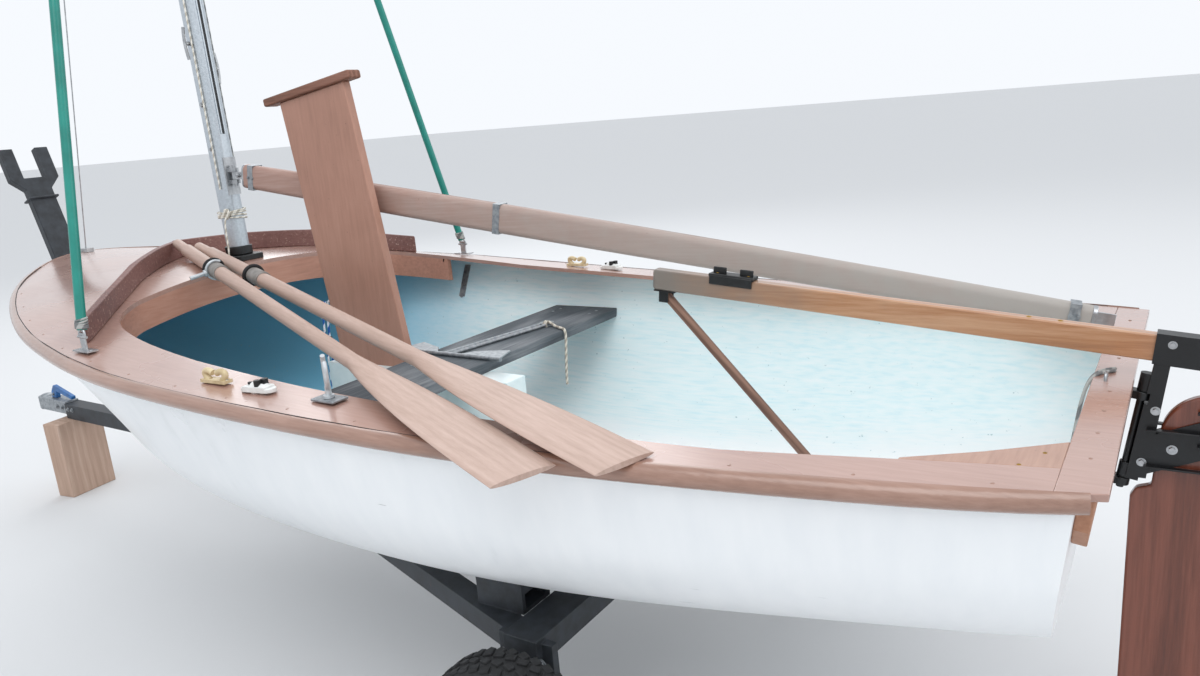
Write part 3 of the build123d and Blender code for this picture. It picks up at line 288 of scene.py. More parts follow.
def hull_gelcoat(name, base):
    """Polyester gel coat: smooth and glossy, with dirt runs, scuffs and hairline scratches."""
    mat, where, shader = blank(name)
    upright = put(mat, "Mapping", OWN_AXES, Vector=where, Scale=finer((9, 9, 1.2)))
    runs = put(mat, "TexNoise", Vector=upright, Scale=3.0, Detail=5.0)
    cloud = put(mat, "TexNoise", Vector=where, Scale=2.2, Detail=5.0, Roughness=0.6)
    dirt = put(mat, "Math", TIMES, n0=cloud, n1=0.5)
    dirt = put(mat, "Math", ADDED, n0=runs, n1=0.5, n2=dirt)
    colour = put(mat, "ValToRGB", {"stops": ((0.24, "#E0E4E5"), (0.4, base), (0.7, "#F4F6F7"))}, Fac=dirt)
    level = put(mat, "Mapping", OWN_AXES, Vector=where, Scale=finer((2.2, 2, 60)))
    hairs = put(mat, "TexNoise", Vector=level, Scale=3.1, Detail=2.0)
    hairs = put(mat, "MapRange", Value=hairs, n1=0.735, n2=0.75)
    areas = put(mat, "TexNoise", Vector=where, Scale=6.0, Detail=1.0)
    areas = put(mat, "MapRange", Value=areas, n1=0.55, n2=0.6)
    share = put(mat, "Math", TIMES, n0=hairs, n1=areas)
    feed(mat, shader, Roughness=put(mat, "MapRange", Value=cloud, n3=0.22, n4=0.4),
         Base_Color=put(mat, "Mix", COLOUR, n0=share, n6=colour, n7=lin("#9EA3A3")).outputs[2])


def bilge_paint_and_painted_light(name, base):
    """Brushed topcoat inside the hull with marks and dirt, painted sunlight near white on the floor and
    painted shade bluer towards the bow.
    """
    mat, where, shader = blank(name)
    place = put(mat, "SeparateXYZ", Vector=where).outputs
    wander = put(mat, "TexNoise", Vector=where, Scale=5.0, Detail=4.0)
    off = put(mat, "Math", {"operation": "ABSOLUTE"}, n0=place["Y"])
    off = put(mat, "Math", ADDED, n0=wander, n1=0.12, n2=off)
    # painted sunlight: a near white pool on the floor near the middle line, aft of x = 0.9 to 1.35
    floor = put(mat, "MapRange", EASED, Value=off, n1=0.58, n2=0.36)
    aft = put(mat, "MapRange", EASED, Value=place["X"], n1=1.35, n2=0.9)
    painted_sunlight = put(mat, "Math", TIMES, n0=floor, n1=aft)
    # painted shade: bluer towards the bow, from x = 0.95 to 1.6, under the foredeck
    painted_shade_fore = put(mat, "MapRange", EASED, Value=place["X"], n1=0.95, n2=1.6)
    strokes = put(mat, "Mapping", OWN_AXES, Vector=where, Scale=finer((3, 30, 30)))
    strokes = put(mat, "TexNoise", Vector=strokes, Scale=4.0, Detail=5.0)
    marks = put(mat, "TexNoise", Vector=where, Scale=70.0, Detail=2.0, Roughness=0.8)
    marks = put(mat, "MapRange", Value=marks, n1=0.7, n2=0.76)
    stops = ((0.2, "#D4F2F8"), (0.5, base), (0.8, "#F3FDFE"))
    colour = put(mat, "ValToRGB", {"stops": stops}, Fac=strokes)
    # mixes in the painted sunlight, the painted shade and the real marks
    for share, code in ((painted_sunlight, "#FAFCFC"), (painted_shade_fore, "#86CDEB"), (marks, "#A5C4CA")):
        colour = put(mat, "Mix", COLOUR, n0=share, n6=colour, n7=lin(code)).outputs[2]
    feed(mat, shader, Base_Color=colour, Roughness=0.45,
         Normal=put(mat, "Bump", Strength=0.06, Distance=0.0010, Height=strokes))


def make_materials():
    """One material for each finish; the comments say what it gives the eye."""
    colours = bpy.context.scene.dinghy_colours
    # glossy white topsides with faint dirt runs and scratches
    hull_gelcoat("gelcoat_white", colours.hull)
    # pale cyan cockpit, with painted sunlight near white on the floor and painted shade bluer towards the
    # bow
    bilge_paint_and_painted_light("topcoat_sky_blue", colours.inside)
    # worn pink-brown paint, its coat bright with sky at a low angle
    worn_paint("plywood_deck_paint", colours.deck, "#97746A", "#B89488", roughness=0.24, coat=0.9)
    # the same paint, browner and patchy on the quarter knees
    worn_paint("knee_plywood", "#A67E6B", "#84604F", "#BB947F", roughness=0.35, grain=(16, 1.2, 16),
               coat=0.7)
    # darker brown edge with a bright upper side
    worn_paint("rail_paint", "#94705F", "#7A5749", "#AA8676", roughness=0.28, grain=(1.2, 20, 20), coat=0.9)
    # flat reddish brown, grain across the boat
    worn_paint("transom_board_paint", "#A8765A", "#8A5B45", "#BC8D72", grain=(14, 1.2, 14))
    # light brown curved edge of the cockpit
    worn_paint("facing_paint", "#B68470", "#9A6D5C", "#C69A87", roughness=0.4, grain=(14, 1.2, 14))
    # dark purple-brown, much chipped
    worn_paint("breakwater_paint", "#7B5650", "#563A38", "#93706A", roughness=0.5, chips=0.6, chip="#A58A80")
    # flat brown board with a few dark pinholes
    worn_paint("board_paint", "#AA7E6C", "#99705F", "#B88D7B", roughness=0.45, grain=(14, 14, 1.2),
               chips=0.7, chip="#5A3C30")
    # brown at the gooseneck, bleached grey towards the aft end
    boom = worn_paint("boom_paint", "#A68579", "#92726A", "#BBA097", roughness=0.5, grain=(1.0, 22, 22),
                      turn=(0, 0, 0.12), chips=0.7)
    weather(boom, "#A7A19B", 1.2, -0.7)
    # pale dry spruce with soft grain
    timber("oar_spruce", "#BBA093", "#A18778", "#CDB6AA", grain=(1.0, 26, 26), turn=(0, 0, -0.33),
           bands_share=0.08, reach=0.3)
    # slate grey weathered plank
    timber("thwart_plank", "#565D63", "#383D42", "#787C80", roughness=0.75, grain=(26, 1.4, 26),
           strength=0.5)
    # varnished orange-brown, bare and grey at its fore end
    tiller = timber("tiller_ash", "#A97650", "#84573A", "#BE9270", roughness=0.34, grain=(1.6, 30, 30),
                    coat=0.5)
    weather(tiller, "#7D746C", -0.42, 0.02)
    # dark brown stick with long streaks
    timber("extension_wood", "#6A4A3C", "#3F2C26", "#8C6A58", grain=(30, 30, 1.3), turn=(0, 0.75, 0))
    # deep red-brown under varnish
    timber("mahogany", "#62301F", "#421C12", "#7A4230", roughness=0.28, grain=(26, 26, 1.1), coat=0.5)
    # raw greyish pine
    timber("block_pine", "#B89C8A", "#9E8270", "#CBB3A3", roughness=0.75, grain=(16, 16, 1.0), strength=0.4,
           bands_share=0.12, reach=0.26)
    # darker handle strip on the board
    timber("cap_wood", "#7D5341", "#55372B", "#94695A", roughness=0.6, grain=(1.5, 26, 26))
    # dull satin spar
    metal("anodised_aluminium", "#CBD2D8", "#B7BEC4", scale=160.0)
    # grey mottled zinc of hot dipped parts
    metal("galvanised_steel", "#B3B7BA", "#868B90", roughness=0.5, scale=90.0)
    # paler, brighter plating
    metal("bright_zinc", "#D5D9DC", "#B4BABE", roughness=0.45, metallic=0.6, scale=70.0)
    # smooth grey steel with sharper reflections
    metal("stainless_steel", "#C2C4C6", "#9C9EA1", roughness=0.3, scale=50.0)
    # yellow screw heads
    metal("brass", "#B08D48", "#7F6431", scale=40.0)
    # blue-black frame paint with brown rust blooms
    metal("trailer_paint", "#3B4046", "#25282C", roughness=0.52, metallic=0.1, scale=30.0, rust="#6A3A22",
          rust_at=0.62)
    # black rudder fittings rubbed grey
    metal("black_enamel", "#17191C", "#0E0F11", roughness=0.34, metallic=0.05, scale=26.0, rust="#4A4B4C",
          rust_at=0.68)
    # silver rims with a little rust
    metal("rim_paint", "#C9CBCB", "#A5A8A8", roughness=0.42, metallic=0.25, scale=20.0, rust="#7A4B30",
          rust_at=0.66)
    # matt tyres
    plastic("tyre_rubber", "#2B2C2E", "#1D1E1F", roughness=0.82, scale=60.0, strength=0.3)
    # soft black rubber, a little smoother
    plastic("black_rubber", "#232326", "#151517", roughness=0.7)
    # moulded black with a shine
    plastic("black_nylon", "#1D1E20", "#111213")
    # fairleads yellowed by the sun
    plastic("cream_nylon", "#DCCBA6", "#C2AE87", roughness=0.45)
    # cleats still white
    plastic("white_nylon", "#ECEDEB", "#D6D7D4")
    # bright blue handle
    plastic("blue_plastic", "#2E6FB0", "#22558C")
    # glossy teal stay covers
    plastic("hose_teal", colours.hose, "#187A6E", roughness=0.3, scale=12.0)
    # warm grey oar sleeves
    plastic("grey_rubber", "#94908C", "#7D7975", roughness=0.6)
    # off-white case with soft blue patches
    plastic("case_gelcoat", "#E9F0F0", "#CFE0E2", roughness=0.35, scale=8.0)
    # white halyard with sand-grey flecks
    braid("white_braid", "#E6E2D8", "#B9B3A6")
    # grey line, drawn with flecks coarse enough to show
    braid("grey_braid", "#A9ABA8", "#77797A", pitch=0.01)
    # white line with blue flecks, drawn coarse enough to show
    braid("blue_braid", "#E8ECF2", "#1F5FB0", pitch=0.012)
    # old cotton, off-white and soft
    braid("cotton_line", "#D9D3C6", "#A8A094", pitch=0.005)


# Making pieces

def finish_mesh(name, bm, material, body=BOAT, replaces=(), smooth=35.0, bevel=0.0, segments=2):
    """Turns a bmesh into a piece at the origin that rides on a body."""
    bmesh.ops.recalc_face_normals(bm, faces=bm.faces)
    for face in bm.faces:
        face.smooth = True
    for edge in bm.edges:
        edge.smooth = not (len(edge.link_faces) == 2 and edge.calc_face_angle(0) > math.radians(smooth))
    mesh = bpy.data.meshes.new(name)
    bm.to_mesh(mesh)
    bm.free()
    piece = bpy.data.objects.new(name, mesh)
    bpy.context.scene.collection.objects.link(piece)
    for one in (material if isinstance(material, (list, tuple)) else [material]):
        mesh.materials.append(MATS[one])
    if bevel:
        mod = piece.modifiers.new("edges", "BEVEL")
        mod.width = bevel
        mod.segments = segments
        mod.limit_method = "ANGLE"
        mod.angle_limit = math.radians(40)
        mod.harden_normals = False
    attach(piece, body)
    if replaces:
        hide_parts(*replaces)
    return piece


def body_of_node(node):
    return NODES[node]["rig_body"]


def node_copy(node):
    """Merged copy of a CAD node's mesh."""
    bm = bmesh.new()
    bm.from_mesh(NODES[node].data)
    bmesh.ops.remove_doubles(bm, verts=bm.verts, dist=1e-5)
    bmesh.ops.dissolve_limit(bm, angle_limit=math.radians(0.4), verts=bm.verts, edges=bm.edges)
    return bm


def dress(material, bevel, *nodes):
    """CAD nodes' own shapes with smooth shading, small edge rounds and their finish."""
    for node in nodes:
        finish_mesh(node + "_shown", node_copy(node), material, body_of_node(node), (node,), bevel=bevel)


def box_into(bm, size, matrix):
    made = bmesh.ops.create_cube(bm, size=1.0)["verts"]
    bmesh.ops.scale(bm, vec=size, verts=made)
    bmesh.ops.transform(bm, matrix=matrix, verts=made)


def towards(at, out):
    """Matrix that stands local z along out, at a point."""
    return Matrix.Translation(at) @ Vector(out).to_track_quat("Z", "Y").to_matrix().to_4x4()


def rod_into(bm, start, end, radius, segments=16, radius_end=None):
    start, end = Vector(start), Vector(end)
    run = end - start
    made = bmesh.ops.create_cone(bm, cap_ends=True, segments=segments, radius1=radius,
                                 radius2=radius if radius_end is None else radius_end,
                                 depth=run.length)["verts"]
    bmesh.ops.transform(bm, matrix=towards((start + end) / 2, run), verts=made)


def frame_at(origin, x_axis, z_axis):
    """Matrix with the given x and z directions at a point."""
    z = Vector(z_axis).normalized()
    x = Vector(x_axis)
    x = (x - z * x.dot(z)).normalized()
    m = Matrix((x, z.cross(x), z)).transposed().to_4x4()
    m.translation = Vector(origin)
    return m


def bolt_into(bm, at, out, radius):
    """Hexagon head on a washer, standing on a surface."""
    at, out = Vector(at), Vector(out).normalized()
    rod_into(bm, at, at + out * radius * 0.22, radius * 1.5, 20)
    rod_into(bm, at + out * radius * 0.22, at + out * radius * 1.02, radius, 6, radius * 0.94)


def dome_into(bm, at, out, radius, height, segments=16, rings=None):
    """Rounded cap standing on a surface."""
    made = bmesh.ops.create_uvsphere(bm, u_segments=segments, v_segments=rings or segments // 2,
                                     radius=1.0)["verts"]
    matrix = towards(Vector(at), Vector(out).normalized()) @ Matrix.Diagonal((radius, radius, height, 1))
    bmesh.ops.transform(bm, matrix=matrix, verts=made)


def screw_into(bm, at, out, radius):
    """Low domed screw head."""
    dome_into(bm, at, out, radius, radius * 0.35, 12, 8)


def path(points, radius, closed, steps, sides):
    """Curve of round section through its control points, its ends closed."""
    curve = bpy.data.curves.new("line", "CURVE")
    curve.dimensions = "3D"
    spline = curve.splines.new("NURBS")
    spline.points.add(len(points) - 1)
    for point, at in zip(spline.points, points):
        point.co = (*at, 1.0)
    spline.order_u = 3
    spline.use_endpoint_u = not closed
    spline.use_cyclic_u = closed
    spline.resolution_u = steps
    curve.bevel_depth = radius
    curve.bevel_resolution = sides
    curve.use_fill_caps = True
    return curve


def smooth_line(name, points, radius, material, body=BOAT):
    """A line of even thickness, as a piece of its own."""
    curve = path(points, radius, False, 8, 3)
    curve.name = name
    curve.materials.append(MATS[material])
    piece = bpy.data.objects.new(name, curve)
    bpy.context.scene.collection.objects.link(piece)
    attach(piece, body)
    return piece


def tube_into(bm, points, radius, closed=False, sides=8):
    """A bent rod through its control points, added to a mesh."""
    curve = path(points, radius, closed, 5, sides // 2 - 1)
    holder = bpy.data.objects.new("bent_rod", curve)
    mesh = bpy.data.meshes.new_from_object(holder)
    bm.from_mesh(mesh)
    bpy.data.objects.remove(holder)
    bpy.data.curves.remove(curve)
    bpy.data.meshes.remove(mesh)


def ring(centre, one, other, count):
    """Points round a centre, from two half axes."""
    angles = (math.tau * k / count for k in range(count))
    return [centre + one * math.cos(a) + other * math.sin(a) for a in angles]


def plate_into(bm, at, x_axis, z_axis, size):
    """Box whose base stands on a point, its length along x_axis and its height along z_axis."""
    box_into(bm, size, frame_at(at, x_axis, z_axis) @ Matrix.Translation((0, 0, size[2] / 2)))


def surface_of(*nodes):
    """Search tree over CAD nodes' own faces."""
    bm = bmesh.new()
    for node in nodes:
        bm.from_mesh(NODES[node].data)
    tree = BVHTree.FromBMesh(bm)
    bm.free()
    return tree


def top_of(tree, x, y):
    """Point and normal where a line dropped at this place meets the surface."""
    at, normal, _, _ = tree.ray_cast(Vector((x, y, 3.0)), -UP)
    return at, normal


def screws_on(bm, tree, places, radius):
    """Screw heads on a surface at the places where there is one."""
    for x, y in places:
        at, normal = top_of(tree, x, y)
        if at:
            screw_into(bm, at, normal, radius)


def edge_of(tree, x, side, start, step, count):
    """Widest place at x where the surface is still below, or None."""
    places = (start + k * step for k in range(count))
    return max((y for y in places if top_of(tree, x, side * y)[0]), default=None)


def seat_of(node, top=False):
    """Middle of a node's box, at its bottom or its top."""
    low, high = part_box(node)
    return Vector(((low[0] + high[0]) / 2, (low[1] + high[1]) / 2, (high if top else low)[2]))


def mast_line():
    """Foot and direction of the mast."""
    lean = math.radians(MAST_LEAN)
    return Vector((MAST_FOOT_X, 0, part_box("mast")[0][2])), Vector((math.sin(lean), 0, math.cos(lean)))


def boom_line():
    """Lift pin, direction and upward direction of the boom."""
    yaw, drop = math.radians(BOOM_YAW), math.radians(BOOM_DROP)
    level = Vector((-math.cos(yaw), -math.sin(yaw), 0))
    along = level * math.cos(drop) - UP * math.sin(drop)
    return Vector(LIFT_PIN), along, level * math.sin(drop) + UP * math.cos(drop)


def oar_line(oar, x):
    """Point of an oar's middle line at x, and its direction towards the blade."""
    grip, tip = (Vector(p) for p in OARS[oar])
    run = (tip - grip).normalized()
    return grip + run * ((grip.x - x) / -run.x), run


# Pieces

class DINGHY_OT_hull(bpy.types.Operator):
    """Hull shell, white outside and sky blue inside."""
    bl_idname = "dinghy.hull"
    bl_label = "Hull"

    def execute(self, context):
        bm = node_copy("hull_shell")
        bmesh.ops.recalc_face_normals(bm, faces=bm.faces)
        for face in bm.faces:
            c = face.calc_center_median()
            # inner faces look towards the middle of the boat
            inward = Vector((0.55 - c.x if c.x < -0.6 or c.x > 1.6 else 0, -c.y, 0.95 - c.z))
            face.material_index = 1 if face.normal.dot(inward) > 0 else 0
        finish_mesh("hull_shown", bm, ["gelcoat_white", "topcoat_sky_blue"], BOAT, ("hull_shell",), 40)
        return {"FINISHED"}


class DINGHY_OT_deck(bpy.types.Operator):
    """Deck panels, facing, knees, caps, rails and the breakwater."""
    bl_idname = "dinghy.deck"
    bl_label = "Deck"

    def execute(self, context):
        dress("plywood_deck_paint", 0.0015, "foredeck", "side_deck_port", "side_deck_starboard",
              "transom_cap")
        dress("knee_plywood", 0.002, "quarter_knee_port", "quarter_knee_starboard")
        dress("facing_paint", 0.002, "deck_facing")
        dress("transom_board_paint", 0.002, "transom_board")
        dress("rail_paint", 0.002, "rub_rail_port", "rub_rail_starboard")
        dress("breakwater_paint", 0.003, "breakwater")
        self.screws(context)
        self.trim()
        return {"FINISHED"}

    def screws(self, context):
        """Rows of screw heads along the side decks and the transom cap."""
        head = context.scene.dinghy_sizes.screw_head / 2
        deck = surface_of("foredeck", "side_deck_port", "side_deck_starboard", "transom_cap")
        bm = bmesh.new()
        for side in (-1, 1):
            for index in range(17):
                x = bx(0.12 + index * 0.17)
                edge = edge_of(deck, x, side, 0.3, 0.005, 92)
                if edge:
                    screws_on(bm, deck, [(x, side * (edge - 0.016))], head)
        across = (-0.40 + index * 0.1 for index in range(9))
        screws_on(bm, deck, [(bx(0.02), y) for y in across if abs(y) > 0.03], head)
        finish_mesh("deck_screws", bm, "rail_paint")

    def trim(self):
        """Open seam between deck and rail, the knees' screws and the small side vent."""
        deck = surface_of("foredeck", "side_deck_port", "side_deck_starboard")
        bm = bmesh.new()
        for side in (-1, 1):
            seam = []
            for index in range(44):
                x = bx(0.07 + index * 0.0725)
                edge = edge_of(deck, x, side, 0.1, 0.002, 320)
                if edge:
                    seam.append(top_of(deck, x, side * edge)[0] + Vector((0, side * 0.0005, -0.0002)))
            tube_into(bm, seam, 0.0011, sides=6)
        finish_mesh("rail_seams", bm, "black_rubber")
        bm = bmesh.new()
        places = ((bx(0.075), 0.40), (bx(0.10), 0.452), (bx(0.19), 0.485))
        screws_on(bm, surface_of("quarter_knee_port", "quarter_knee_starboard"),
                  [(x, side * y) for side in (-1, 1) for x, y in places], 0.003)
        finish_mesh("knee_screws", bm, "brass")
        at, normal, _, _ = surface_of("hull_shell").find_nearest(Vector((1.43, 0.52, 0.713)))
        out = normal if normal.y > 0 else -normal
        bm = bmesh.new()
        rod_into(bm, at - out * 0.001, at + out * 0.002, 0.011, 20)
        rod_into(bm, at + out * 0.0005, at + out * 0.0026, 0.006, 16)
        finish_mesh("side_vent", bm, "black_rubber")


class DINGHY_OT_inside(bpy.types.Operator):
    """Thwart, daggerboard and its case."""
    bl_idname = "dinghy.inside"
    bl_label = "Inside"

    def execute(self, context):
        dress("thwart_plank", 0.003, "thwart")
        dress("case_gelcoat", 0.004, "daggerboard_case")
        dress("board_paint", 0.003, "daggerboard")
        dress("cap_wood", 0.004, "daggerboard_cap")
        dress("galvanised_steel", 0.001, "anchor")
        self.straps()
        self.thwart_screws()
        self.anchor_rope(context)
        self.board_line(context)
        return {"FINISHED"}

    def board_line(self, context):
        """Doubled blue and white line with a small block, hanging from the board's fore edge."""
        body = body_of_node("daggerboard")
        width = context.scene.dinghy_sizes.line_width
        bm = bmesh.new()
        m = frame_at((1.1215, 0.0165, 0.735), PORT, UP)
        box_into(bm, (0.026, 0.011, 0.034), m)
        for way in (-1, 1):
            rod_into(bm, m @ Vector((0, way * 0.0052, 0.002)), m @ Vector((0, way * 0.0078, 0.002)),
                     0.0105, 20)
        block = finish_mesh("line_block", bm, "black_nylon", body, bevel=0.003)
        for index, shift in enumerate((-0.0075, 0.0075)):
            y = 0.0165 + shift
            route = [(1.0985, 0.0165 + shift * 0.9, 0.860), (1.106, 0.0165 + shift * 0.95, 0.855),
                     (1.114, y, 0.834), (1.119, y, 0.795), (1.1212, y, 0.745), (1.1218, y + 0.0005, 0.695),
                     (1.1222, y + 0.0015, 0.650), (1.1224, y + 0.0025, 0.605)]
            line = smooth_line(f"board_line_{index + 1}", route, width / 2, "blue_braid", body)

    def straps(self):
        """Chain plate straps bolted down the inside of the hull."""
        hull = surface_of("hull_shell")
        for tag, side in SIDES:
            bm = bmesh.new()
            spots = []
            for z in (0.835, 0.80, 0.765, 0.735):
                at, normal, _, _ = hull.ray_cast(Vector((CHAIN_X, 0, z)), PORT * side)
                spots.append((at, normal if normal.y * side < 0 else -normal))
            for (a, inward), (b, _) in zip(spots, spots[1:]):
                plate_into(bm, (a + b) / 2, b - a, inward, ((b - a).length + 0.003, 0.022, 0.003))
            for at, inward in spots[1:]:
                bolt_into(bm, at + inward * 0.003, inward, 0.0045)
            finish_mesh(f"chain_strap_{tag}", bm, "galvanised_steel")

    def thwart_screws(self):
        """Screws along the thwart where it sits on the case and the hull."""
        bm = bmesh.new()
        screws_on(bm, surface_of("thwart"), [(x, y) for y in (-0.62, -0.58, -0.06, 0.06, 0.58, 0.62)
                                             for x in (bx(1.49), bx(1.63))], 0.005)
        finish_mesh("thwart_screws", bm, "galvanised_steel")

    def anchor_rope(self, context):
        """Short rope tied in the anchor's ring, hanging over the edge of the thwart."""
        width = context.scene.dinghy_sizes.rope_width
        route = [(0.632, -0.405, 0.7255), (0.618, -0.398, 0.7225), (0.595, -0.388, 0.7175),
                 (0.572, -0.378, 0.7175), (0.5525, -0.372, 0.716), (0.5475, -0.368, 0.695),
                 (0.5465, -0.362, 0.665), (0.5455, -0.356, 0.63), (0.5455, -0.352, 0.59),
                 (0.5455, -0.350, 0.555)]
        line = smooth_line("anchor_rope", route, width / 2, "cotton_line")
        bm = bmesh.new()
        for x in (0.6345, 0.6425):
            tube_into(bm, ring(Vector((x, -0.4, 0.718)), PORT * 0.0098, UP * 0.0098, 10), width / 2.4,
                      closed=True)
        finish_mesh("anchor_knot", bm, "cotton_line")


class DINGHY_OT_rig(bpy.types.Operator):
    """Mast, boom, gooseneck, stays and their covers."""
    bl_idname = "dinghy.rig"
    bl_label = "Rig"

    def execute(self, context):
        dress("anodised_aluminium", 0.0, "mast")
        dress("black_nylon", 0.002, "mast_foot")
        dress("boom_paint", 0.001, "boom")
        dress("stainless_steel", 0.0008, "boom_fork", "boom_end_fitting", "gooseneck_bracket",
              "gooseneck_swivel", "chainplate_port", "chainplate_starboard")
        dress("stainless_steel", 0.0, "shroud_port", "shroud_starboard", "forestay")
        dress("hose_teal", 0.0, "hose_port", "hose_starboard")
        self.mast_gear(context)
        self.boom_gear()
        self.stay_ends()
        return {"FINISHED"}

    def mast_gear(self, context):
        """Sail track, halyards, cleats, the fork bolt and the line tied round the mast."""
        foot, up = mast_line()
        aft = Vector((-up.z, 0, up.x))
        width = context.scene.dinghy_sizes.line_width
        line_radius = width * 0.42
        track_l, track_middle = 4.1, up * 2.41
        bm = bmesh.new()
        for side in (-1, 1):
            m = frame_at(foot + aft * 0.0325 + PORT * side * 0.0062 + track_middle, PORT, up)
            box_into(bm, (0.0045, 0.005, track_l), m)
        finish_mesh("sail_track", bm, "anodised_aluminium", bevel=0.0006)
        bm = bmesh.new()
        box_into(bm, (0.008, 0.0014, track_l), frame_at(foot + aft * 0.0322 + track_middle, PORT, up))
        finish_mesh("track_shadow", bm, "black_nylon")
        bm = bmesh.new()
        bolt_into(bm, foot + up * 0.447 + PORT * 0.0282, PORT, 0.006)
        bolt_into(bm, foot + up * 0.318 + PORT * 0.0282, PORT, 0.0045)
        dome_into(bm, foot + up * (MAST_L + 0.0008), up, 0.024, 0.006)
        # horn cleats on both sides of the mast
        for side, height in ((1, 0.62), (-1, 0.55)):
            base, out = foot + up * height + PORT * side * 0.028, PORT * side
            rod_into(bm, base, base + out * 0.016, 0.006, 12)
            tube_into(bm, [base + out * 0.014 - up * 0.045, base + out * 0.018 - up * 0.02,
                           base + out * 0.018 + up * 0.02, base + out * 0.014 + up * 0.045], 0.0045)
        # tang bolts where the stays meet
        for height, half in ((HOUNDS_UP, 0.0325), (HOUNDS_UP - 0.06, 0.028)):
            for side in (-1, 1):
                bolt_into(bm, foot + up * height + PORT * side * half, PORT * side, 0.0055)
        finish_mesh("mast_fittings", bm, "stainless_steel")
        for name, out, low, material in (("main_halyard", 0.032, 0.20, "white_braid"),
                                         ("jib_halyard", -0.033, 0.24, "grey_braid")):
            start = foot + aft * 0.012 + PORT * out
            heights = [low + (MAST_L - 0.03 - low) * k / 3 for k in range(4)]
            smooth_line(name, [start + up * height for height in heights], line_radius, material)
        # turns of white line round the mast, with a hitch at the side
        bm = bmesh.new()
        angles = [math.tau * k / 16 for k in range(16)]
        for index, height in enumerate((0.112, 0.118, 0.125, 0.133)):
            tube_into(bm, [foot + up * (height + 0.004 * math.sin(a + index))
                           + aft * math.copysign(abs(math.cos(a)) ** 0.55, math.cos(a)) * 0.0375
                           + PORT * math.copysign(abs(math.sin(a)) ** 0.55, math.sin(a)) * 0.0335
                           for a in angles], line_radius, closed=True)
        knot = foot + up * 0.122 + aft * 0.03 + PORT * 0.038
        for index in range(3):
            tube_into(bm, [knot + Vector((math.cos(a) * 0.008, 0.004 * math.sin(2 * a),
                                          math.sin(a) * 0.011 + 0.004 * index)) for a in angles[::2]],
                      line_radius, closed=True)
        finish_mesh("mast_lashing", bm, "white_braid")
        # short tail of the lashing, down to the deck
        deck = surface_of("foredeck")
        lie = [top_of(deck, x, y)[0] + UP * width / 2
               for x, y in ((1.447, 0.076), (1.440, 0.096), (1.436, 0.118))]
        route = [knot + Vector((-0.002, 0.006, -0.006)), knot + Vector((-0.008, 0.016, -0.012)),
                 knot + Vector((-0.012, 0.022, -0.045)), (1.449, 0.062, lie[0].z + 0.04),
                 (1.449, 0.066, lie[0].z + 0.010), *lie]
        tail = smooth_line("lashing_tail", route, line_radius, "white_braid")

    def boom_gear(self):
        """Bands, eyes and bolts on the boom."""
        pin, along, up = boom_line()
        across = along.cross(up).normalized()
        bm = bmesh.new()
        for at, half in ((0.052, 0.0362), (0.9, 0.0388), (2.236, 0.0252)):
            box_into(bm, (0.0395, half * 2, 0.020), frame_at(pin + along * at, across, along))
        for at, half in ((0.35, 0.037), (1.5, 0.034), (1.95, 0.0288)):
            base = pin + along * at - up * (half - 0.002)
            fore, aft = base - along * 0.012, base + along * 0.012
            tube_into(bm, [fore, fore - up * 0.014, aft - up * 0.014, aft], 0.0026)
        for at in (0.045, 0.06, 2.23, 2.243):
            for side in (-1, 1):
                bolt_into(bm, pin + along * at + across * side * 0.0197, across * side, 0.0035)
        finish_mesh("boom_bands", bm, "galvanised_steel", body_of_node("boom"), bevel=0.003)

    def stay_ends(self):
        """Shackles, screws and lashings at the lower ends of the stays."""
        for tag, side in SIDES:
            eye = Vector((CHAIN_X, side * CHAIN_Y, CHAIN_EYE_Z))
            along = (Vector((STAY_TOP[0], side * STAY_TOP[1], STAY_TOP[2])) - eye).normalized()
            bm = bmesh.new()
            tube_into(bm, [eye + Vector((0.012, 0, -0.001)), eye + Vector((0.013, 0, 0.012)),
                           eye + along * 0.026, eye + Vector((-0.013, 0, 0.012)),
                           eye + Vector((-0.012, 0, -0.001))], 0.003)
            rod_into(bm, eye - AHEAD * 0.017, eye + AHEAD * 0.019, 0.0035, 12)
            plate = Vector((CHAIN_X, side * CHAIN_Y, CHAIN_DECK_Z))
            plate_into(bm, plate, AHEAD, UP, (0.066, 0.026, 0.0032))
            for shift in (-0.024, 0.024):
                screw_into(bm, plate + Vector((shift, 0, 0.0033)), UP, 0.004)
            finish_mesh(f"stay_shackle_{tag}", bm, "stainless_steel")
            bm = bmesh.new()
            for index in range(5):
                centre = eye + along * (0.022 + 0.0048 * index)
                tube_into(bm, [centre + Vector((math.cos(a) * 0.0128, math.sin(a) * 0.0128,
                                                0.002 * math.sin(a + index)))
                               for a in (math.tau * k / 10 for k in range(10))], 0.0026, closed=True)
            finish_mesh(f"stay_lashing_{tag}", bm, "grey_braid")


